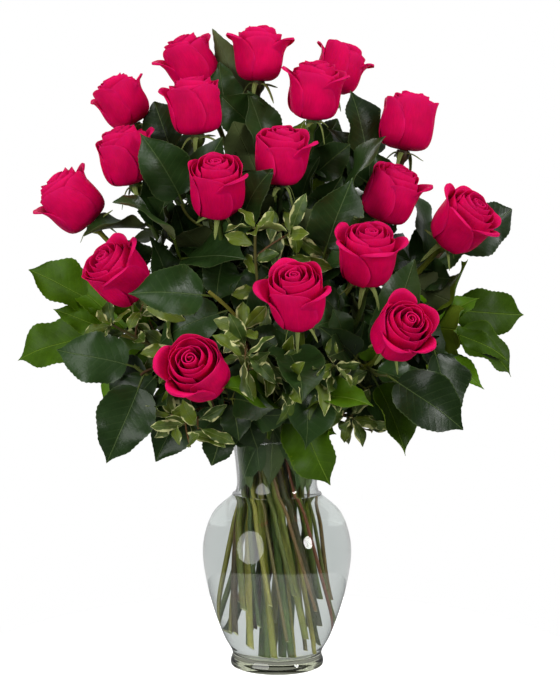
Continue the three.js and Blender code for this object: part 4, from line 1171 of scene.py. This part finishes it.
def add_green_leaf(shape, leaf, tone, rows):
    """Adds a broad leaf. The bright ones are narrower and wavier, and end in a longer point."""
    bright = tone == "bright"
    add_stalk(shape, leaf, GREEN_LEAF["stalk"] + 0.03, 5, 1.1, 0.3)
    leaf = {**leaf, "width": leaf["width"] * (0.84 if bright else 0.94), "fold": leaf["fold"] + 0.05}
    outline = (0.5, spread(leaf["seed"] + 19, 0.6, 0.85))
    add_blade(shape, leaf, GREEN_LEAF["stalk"], outline, rows, 0.8, 4.2 if bright else 3.0,
              curl=4 if bright else 3, point=0.8 if bright else spread(leaf["seed"] + 20, 0.35, 0.8))


def add_neck_shade_leaf(shape, angle, low, seed):
    """Adds a low leaf caught upright in the vase's neck, between the stems and the glass; partly painted
    shade.
    """
    u = np.linspace(0.01, 0.99, 18)[:, None]
    a = ACROSS[None, :]
    height = low + u * spread(seed + 1, *NECK_LEAF_LENGTH)
    neck = NECK_LEAF_RADIUS + np.interp(height, [NECK_HEIGHT, 203, 235], [0, 0.9, 3.6])
    radius = neck - 0.7 * chance(seed + 5) - 0.7 * np.abs(a)
    lean = spread(seed + 2, -0.8, 0.8) * (u - 0.5)
    turned_by = angle + lean + a * ovate(u, 1.1, 0.8) * spread(seed + 3, 0.2, 0.38)
    points = np.stack([radius * np.cos(turned_by), radius * np.sin(turned_by), height + 0 * a], axis=-1)
    corners, faces = shell(points, 0.45)
    edge, vein = both(np.abs(a) + 0 * u, 6 * u - 0.9 * np.abs(a))
    shape.add(corners, faces, 1, rib=12 * edge, edge=edge, vein=vein, tone=chance(seed + 4),
              under=0.6 * chance(seed + 6))


shoot_bark = stem_finish("green_shoot_bark", [
    (0.06, 0.012, 0.006), (0.06, 0.1, 0.006), (0.01, 0.026, 0.003), (0.26, 0.24, 0.03),
], (0.09, 0.02, 0.008))
greens_skin = {
    "deep": leaf_finish(
        "deep_leaf_skin", (0.013, 0.032, 0.006), (0.07, 0.095, 0.028), (0.075, 0.115, 0.035),
        0.27, 0.2, 0.25),
    "bright": leaf_finish(
        "bright_leaf_skin", (0.046, 0.105, 0.0012), (0.085, 0.13, 0.006), (0.12, 0.2, 0.015),
        0.4, 0.12, 0.12),
}
for i, (tone, arm_ends) in enumerate(GREENS):
    stem = stems[len(ROSES) + i]
    first, tree = stem["curve"], stem["tree"]
    shape = Shape()
    add_stem(shape, stem)
    arms = [(first, STEM_SPOTS)]
    for k, ((end, way), fork) in enumerate(zip(arm_ends[1:], ARM_FORKS), start=1):
        start, end = bar_point(first, STEM_SPOTS, fork), np.array(end, float)
        for attempt in range(STEM_TRIES):
            arm = bend(start, first.way(fork), end, arm_way(way), attempt)
            rings = [(arm.at(t), arm.way(t), arm_radius(t)) for t in ARM_SPOTS]
            if misses(tree, ring_corners(rings, 4)[0][1]) < FOUND:
                break
        arms.append((arm, ARM_SPOTS))
        spots = np.linspace(0, 1, 20)
        shape.add(*tube(arm.at(spots), arm_radius(spots), 8), 0, tone=chance(i + k))
    for k, ((curve, spots), (end, way)) in enumerate(zip(arms, arm_ends)):
        seed = SEED["greens"] + 300 * i + 100 * k
        root, way = bar_point(curve, spots, END_PLACE), unit(np.array(way, float))
        leaves = [matched(tree, end_leaf, root, way, seed, GREEN_LEAF)]
        for rank in range(1, LEAVES_PER_ARM + 1):
            place = 1 - (rank - 0.2) * GREEN_LEAF["spacing"] / curve.length()
            turn = (-1 if rank % 2 else 1) * math.pi / 2
            if place > BARE_SHARE:
                leaves.append(matched(tree, side_leaf, curve, place, seed + 10 * rank, turn, GREEN_LEAF))
        for leaf in filter(None, leaves):
            add_green_leaf(shape, leaf, tone, 36)
    for leaf in spare_leaves(first, SEED["spare_green_leaves"] + 400 * i, SPARE_GREEN_LEAF):
        add_green_leaf(shape, leaf, tone, 24)
    for leaf in single_leaves(SINGLE_GREEN_LEAVES, i + 1, first, SEED["single_green_leaves"]):
        add_green_leaf(shape, leaf, tone, 30)
    # The deep sprays' neck leaves are partly painted shade: dark sheets that darken the neck.
    if tone == "deep":
        for k in range(2):
            seed = SEED["neck_leaves"] + 10 * i + 100 * k
            add_neck_shade_leaf(shape, GOLDEN_ANGLE * (2 * i + k), spread(seed, *NECK_LEAF_FOOT), seed)
        for k, (spray, angle, low) in enumerate(SIDE_NECK_SHADE_LEAVES):
            if spray == i + 1:
                add_neck_shade_leaf(shape, math.radians(angle), low, SEED["side_neck_leaves"] + 10 * k)
    piece = shape.build(label("broad_leaves", i), [shoot_bark, greens_skin[tone]])
    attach(piece, "root")
    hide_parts(label("broad_leaf_spray", i))

# ---------------------------------------------------------------- variegated twigs
# Thin reddish twigs with small wavy leaves, olive green with an uneven cream edge. The last leaves stand
# in a whorl at the tip.

TWIG_LEAF = {"length": 31, "width": 14, "whorl": 5, "count": 9, "stalk": 0.1}
LONG_TWIG_LEAF = {"length": 39, "width": 14}
BRANCHLET = {"length": 52, "width": 20, "leaves": 6}
BRANCHLET_PLACES = [0.42, 0.58, 0.72, 0.86]


def add_twig_leaf(shape, leaf, rows, roll):
    add_stalk(shape, leaf, TWIG_LEAF["stalk"] + 0.04, 3, 0.6, 0.9)
    add_blade(shape, leaf, TWIG_LEAF["stalk"], (0.8, 0.6), rows, ripple=1.5, waves=2.2, vein_spacing=5.0,
              roll=roll, curl=1.6)


cream_edged_skin, nodes = new_finish("cream_edged_skin")
under, tone, rib, edge = [nodes.value(key) for key in ("under", "tone", "rib", "edge")]
mottle = nodes.noise(160.0, 3.0)
patches = nodes.noise(85.0, 2.0)
border = nodes.held(edge + 2.2 * patches + 0.3 * mottle, 2.1, 2.3)
middle_rib = 1 - nodes.held(rib, 0.15, 0.5)
face = nodes.mixed(nodes.held(0.5 * tone + 0.6 * mottle, 0.2, 0.9), (0.022, 0.05, 0.004), (0.1, 0.14, 0.006))
face = nodes.mixed(nodes.held(patches, 0.45, 0.6) * 0.35, face, (0.1, 0.14, 0.045))
face = nodes.mixed(middle_rib * 0.5, face, (0.15, 0.2, 0.05))
face = nodes.mixed(border * 0.85, face, (0.5, 0.5, 0.22))
nodes.surface({
    "Base Color": nodes.mixed(0.35 * under, face, (0.22, 0.26, 0.09)),
    "Roughness": 0.4 + 0.2 * mottle,
    "Specular IOR Level": 0.3,
    "Normal": nodes.bump(0.6, 0.0008, mottle + patches - middle_rib),
})
twig_bark = stem_finish("twig_bark", [
    (0.13, 0.035, 0.016), (0.12, 0.085, 0.025), (0.07, 0.1, 0.015),
], (0.16, 0.035, 0.02))
for i, stem in enumerate(stems[-len(TWIGS):]):
    curve = stem["curve"]
    shape = Shape()
    add_stem(shape, stem)
    for k in range(TWIG_LEAF["count"]):
        below = k - TWIG_LEAF["whorl"] + 1
        place = 0.995 - 0.004 * k if below <= 0 else 0.99 - 0.075 * below
        seed = SEED["twigs"] + 200 * i + 8 * k
        leaf = matched(stem["tree"], side_leaf, curve, place, seed, k * GOLDEN_ANGLE, TWIG_LEAF)
        if leaf:
            add_twig_leaf(shape, leaf, 16, 0.9)
    for k, place in enumerate(BRANCHLET_PLACES):
        seed = SEED["branchlets"] + 300 * i + 100 * k
        sprig = first_fit(has_room, side_leaf, curve, place, seed, 2 * math.pi * chance(seed), BRANCHLET)
        if not sprig:
            continue
        branchlet = Curve(sprig["root"], rib_of(sprig, 0.35) + 3 * UP, rib_of(sprig, 0.7), rib_of(sprig, 1))
        spots = np.linspace(0, 1, 8)
        shape.add(*tube(branchlet.at(spots), 1.0 - 0.4 * spots, 6), 0, tone=0.2)
        for n in range(BRANCHLET["leaves"]):
            place_on = 0.97 - 0.035 * n if n < 3 else 0.8 - 0.2 * (n - 3)
            leaf = side_leaf(branchlet, place_on, seed + 9 * (n + 1), n * GOLDEN_ANGLE, LONG_TWIG_LEAF)
            if has_room(leaf):
                add_twig_leaf(shape, leaf, 14, 1.1)
    piece = shape.build(label("cream_edged_leaves", i), [twig_bark, cream_edged_skin])
    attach(piece, "root")
    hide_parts(label("variegated_twig", i))

# ---------------------------------------------------------------- floor, light and camera
# A plain pale floor in a white studio. The camera sees white. The object is lit and mirrored by a softer
# surround, by large soft lamps from the right, above and behind, and by two round ones that show in the
# glass.

FLOOR_RADIUS = 322
LAMP_AIM = Vector((0, 0, 0.36))
AIM_SIDEWAYS = 3
AIM_HEIGHT = 319

floor_paint, nodes = new_finish("pale_floor")
dust = nodes.noise(3.0, 2.0)
seen, shiny, bent = nodes.ray("Camera"), nodes.ray("Glossy"), nodes.ray("Transmission")
held_back = shiny * (1 - bent) * 0.8 + bent * 0.1
paint = nodes.mixed(dust, (0.88, 0.88, 0.88), (0.91, 0.91, 0.91))
nodes.surface({
    "Base Color": nodes.mixed(held_back, paint, (0.0, 0.0, 0.0)),
    "Roughness": 0.6,
    "Specular IOR Level": 0.2,
    "Emission Color": nodes.mixed(seen, (0, 0, 0), (1, 1, 1)),
    "Emission Strength": 0.6,
})
angles = np.linspace(0, 2 * np.pi, 64, endpoint=False)
shape = Shape()
rim = FLOOR_RADIUS * np.stack([np.cos(angles), np.sin(angles), 0 * angles], axis=1)
shape.add(rim, [list(range(len(rim)))])
floor = shape.build("floor", [floor_paint])

world = bpy.data.worlds.new("studio")
bpy.context.scene.world = world
nodes = Nodes(world)
seen, shiny, bent, diffuse = [nodes.ray(kind) for kind in ("Camera", "Glossy", "Transmission", "Diffuse")]
scattered, glanced = nodes.bounced("Diffuse"), nodes.bounced("Glossy")
back, above = [nodes.add("ShaderNodeSeparateXYZ", {}, {0: nodes.place("Generated")}, axis) for axis in "YZ"]
high = nodes.held(above, 0.2, 0.8)
behind = nodes.held(back, 0.0, 0.8)
in_mirror = 0.04 + 0.7 * behind
through_glass = 0.7 + 0.5 * high
around = 0.34 + 0.12 * above
unscattered = glanced * 0.4 * in_mirror + (1 - glanced) * through_glass
inside = scattered * 0.5 * around + (1 - scattered) * unscattered
light = seen + shiny * (1 - bent) * in_mirror + bent * inside + diffuse * (1 - bent) * around
studio = nodes.add("ShaderNodeBackground", {}, {"Color": (1, 1, 1, 1), "Strength": light})
nodes.add("ShaderNodeOutputWorld", {}, {"Surface": studio})


def add_lamp(name, azimuth, height, distance, size, watts, spared=()):
    """A round soft lamp that looks at the flowers. It leaves out the pieces that it would glare in. Azimuth
    is in degrees round from the viewer's side, to the right."""
    lamp = bpy.data.lights.new(name, "AREA")
    lamp.shape, lamp.size, lamp.energy = "DISK", size, watts
    turn = math.radians(azimuth)
    place = Vector((math.sin(turn) * distance, -math.cos(turn) * distance, height))
    holder = bpy.data.objects.new(name, lamp)
    holder.location = place
    holder.rotation_euler = (LAMP_AIM - place).to_track_quat("-Z", "Y").to_euler()
    holder.visible_transmission = False
    bpy.context.scene.collection.objects.link(holder)
    if spared:
        group = bpy.data.collections.new(f"{name}_spares")
        holder.light_linking.receiver_collection = group
        for piece in spared:
            group.objects.link(piece)
        for entry in group.collection_objects:
            entry.light_linking.link_state = "EXCLUDE"


add_lamp("left_umbrella", -42, 0.52, 2.0, 1.6, 30)
add_lamp("right_strobe", 50, 0.68, 2.0, 0.5, 12)
add_lamp("right_softbox", 52, 1.1, 1.9, 1.2, 16, [vase, water])
add_lamp("top_softbox", -10, 2.3, 0.9, 1.4, 20, [vase, water])
add_lamp("back_softbox", 190, 1.2, 2.0, 1.6, 16, [vase, water])

camera = bpy.data.cameras.new("camera")
camera.lens, camera.sensor_width, camera.sensor_fit = 82.2, 36, "AUTO"
viewer = bpy.data.objects.new("camera", camera)
viewer.location = (AIM_SIDEWAYS * MM, -VIEWER_AWAY * MM, VIEWER_HEIGHT * MM)
aim = Vector((AIM_SIDEWAYS * MM, 0, AIM_HEIGHT * MM))
viewer.rotation_euler = (aim - viewer.location).to_track_quat("-Z", "Y").to_euler()
bpy.context.scene.collection.objects.link(viewer)
bpy.context.scene.camera = viewer
bpy.context.scene.view_settings.view_transform = "Standard"
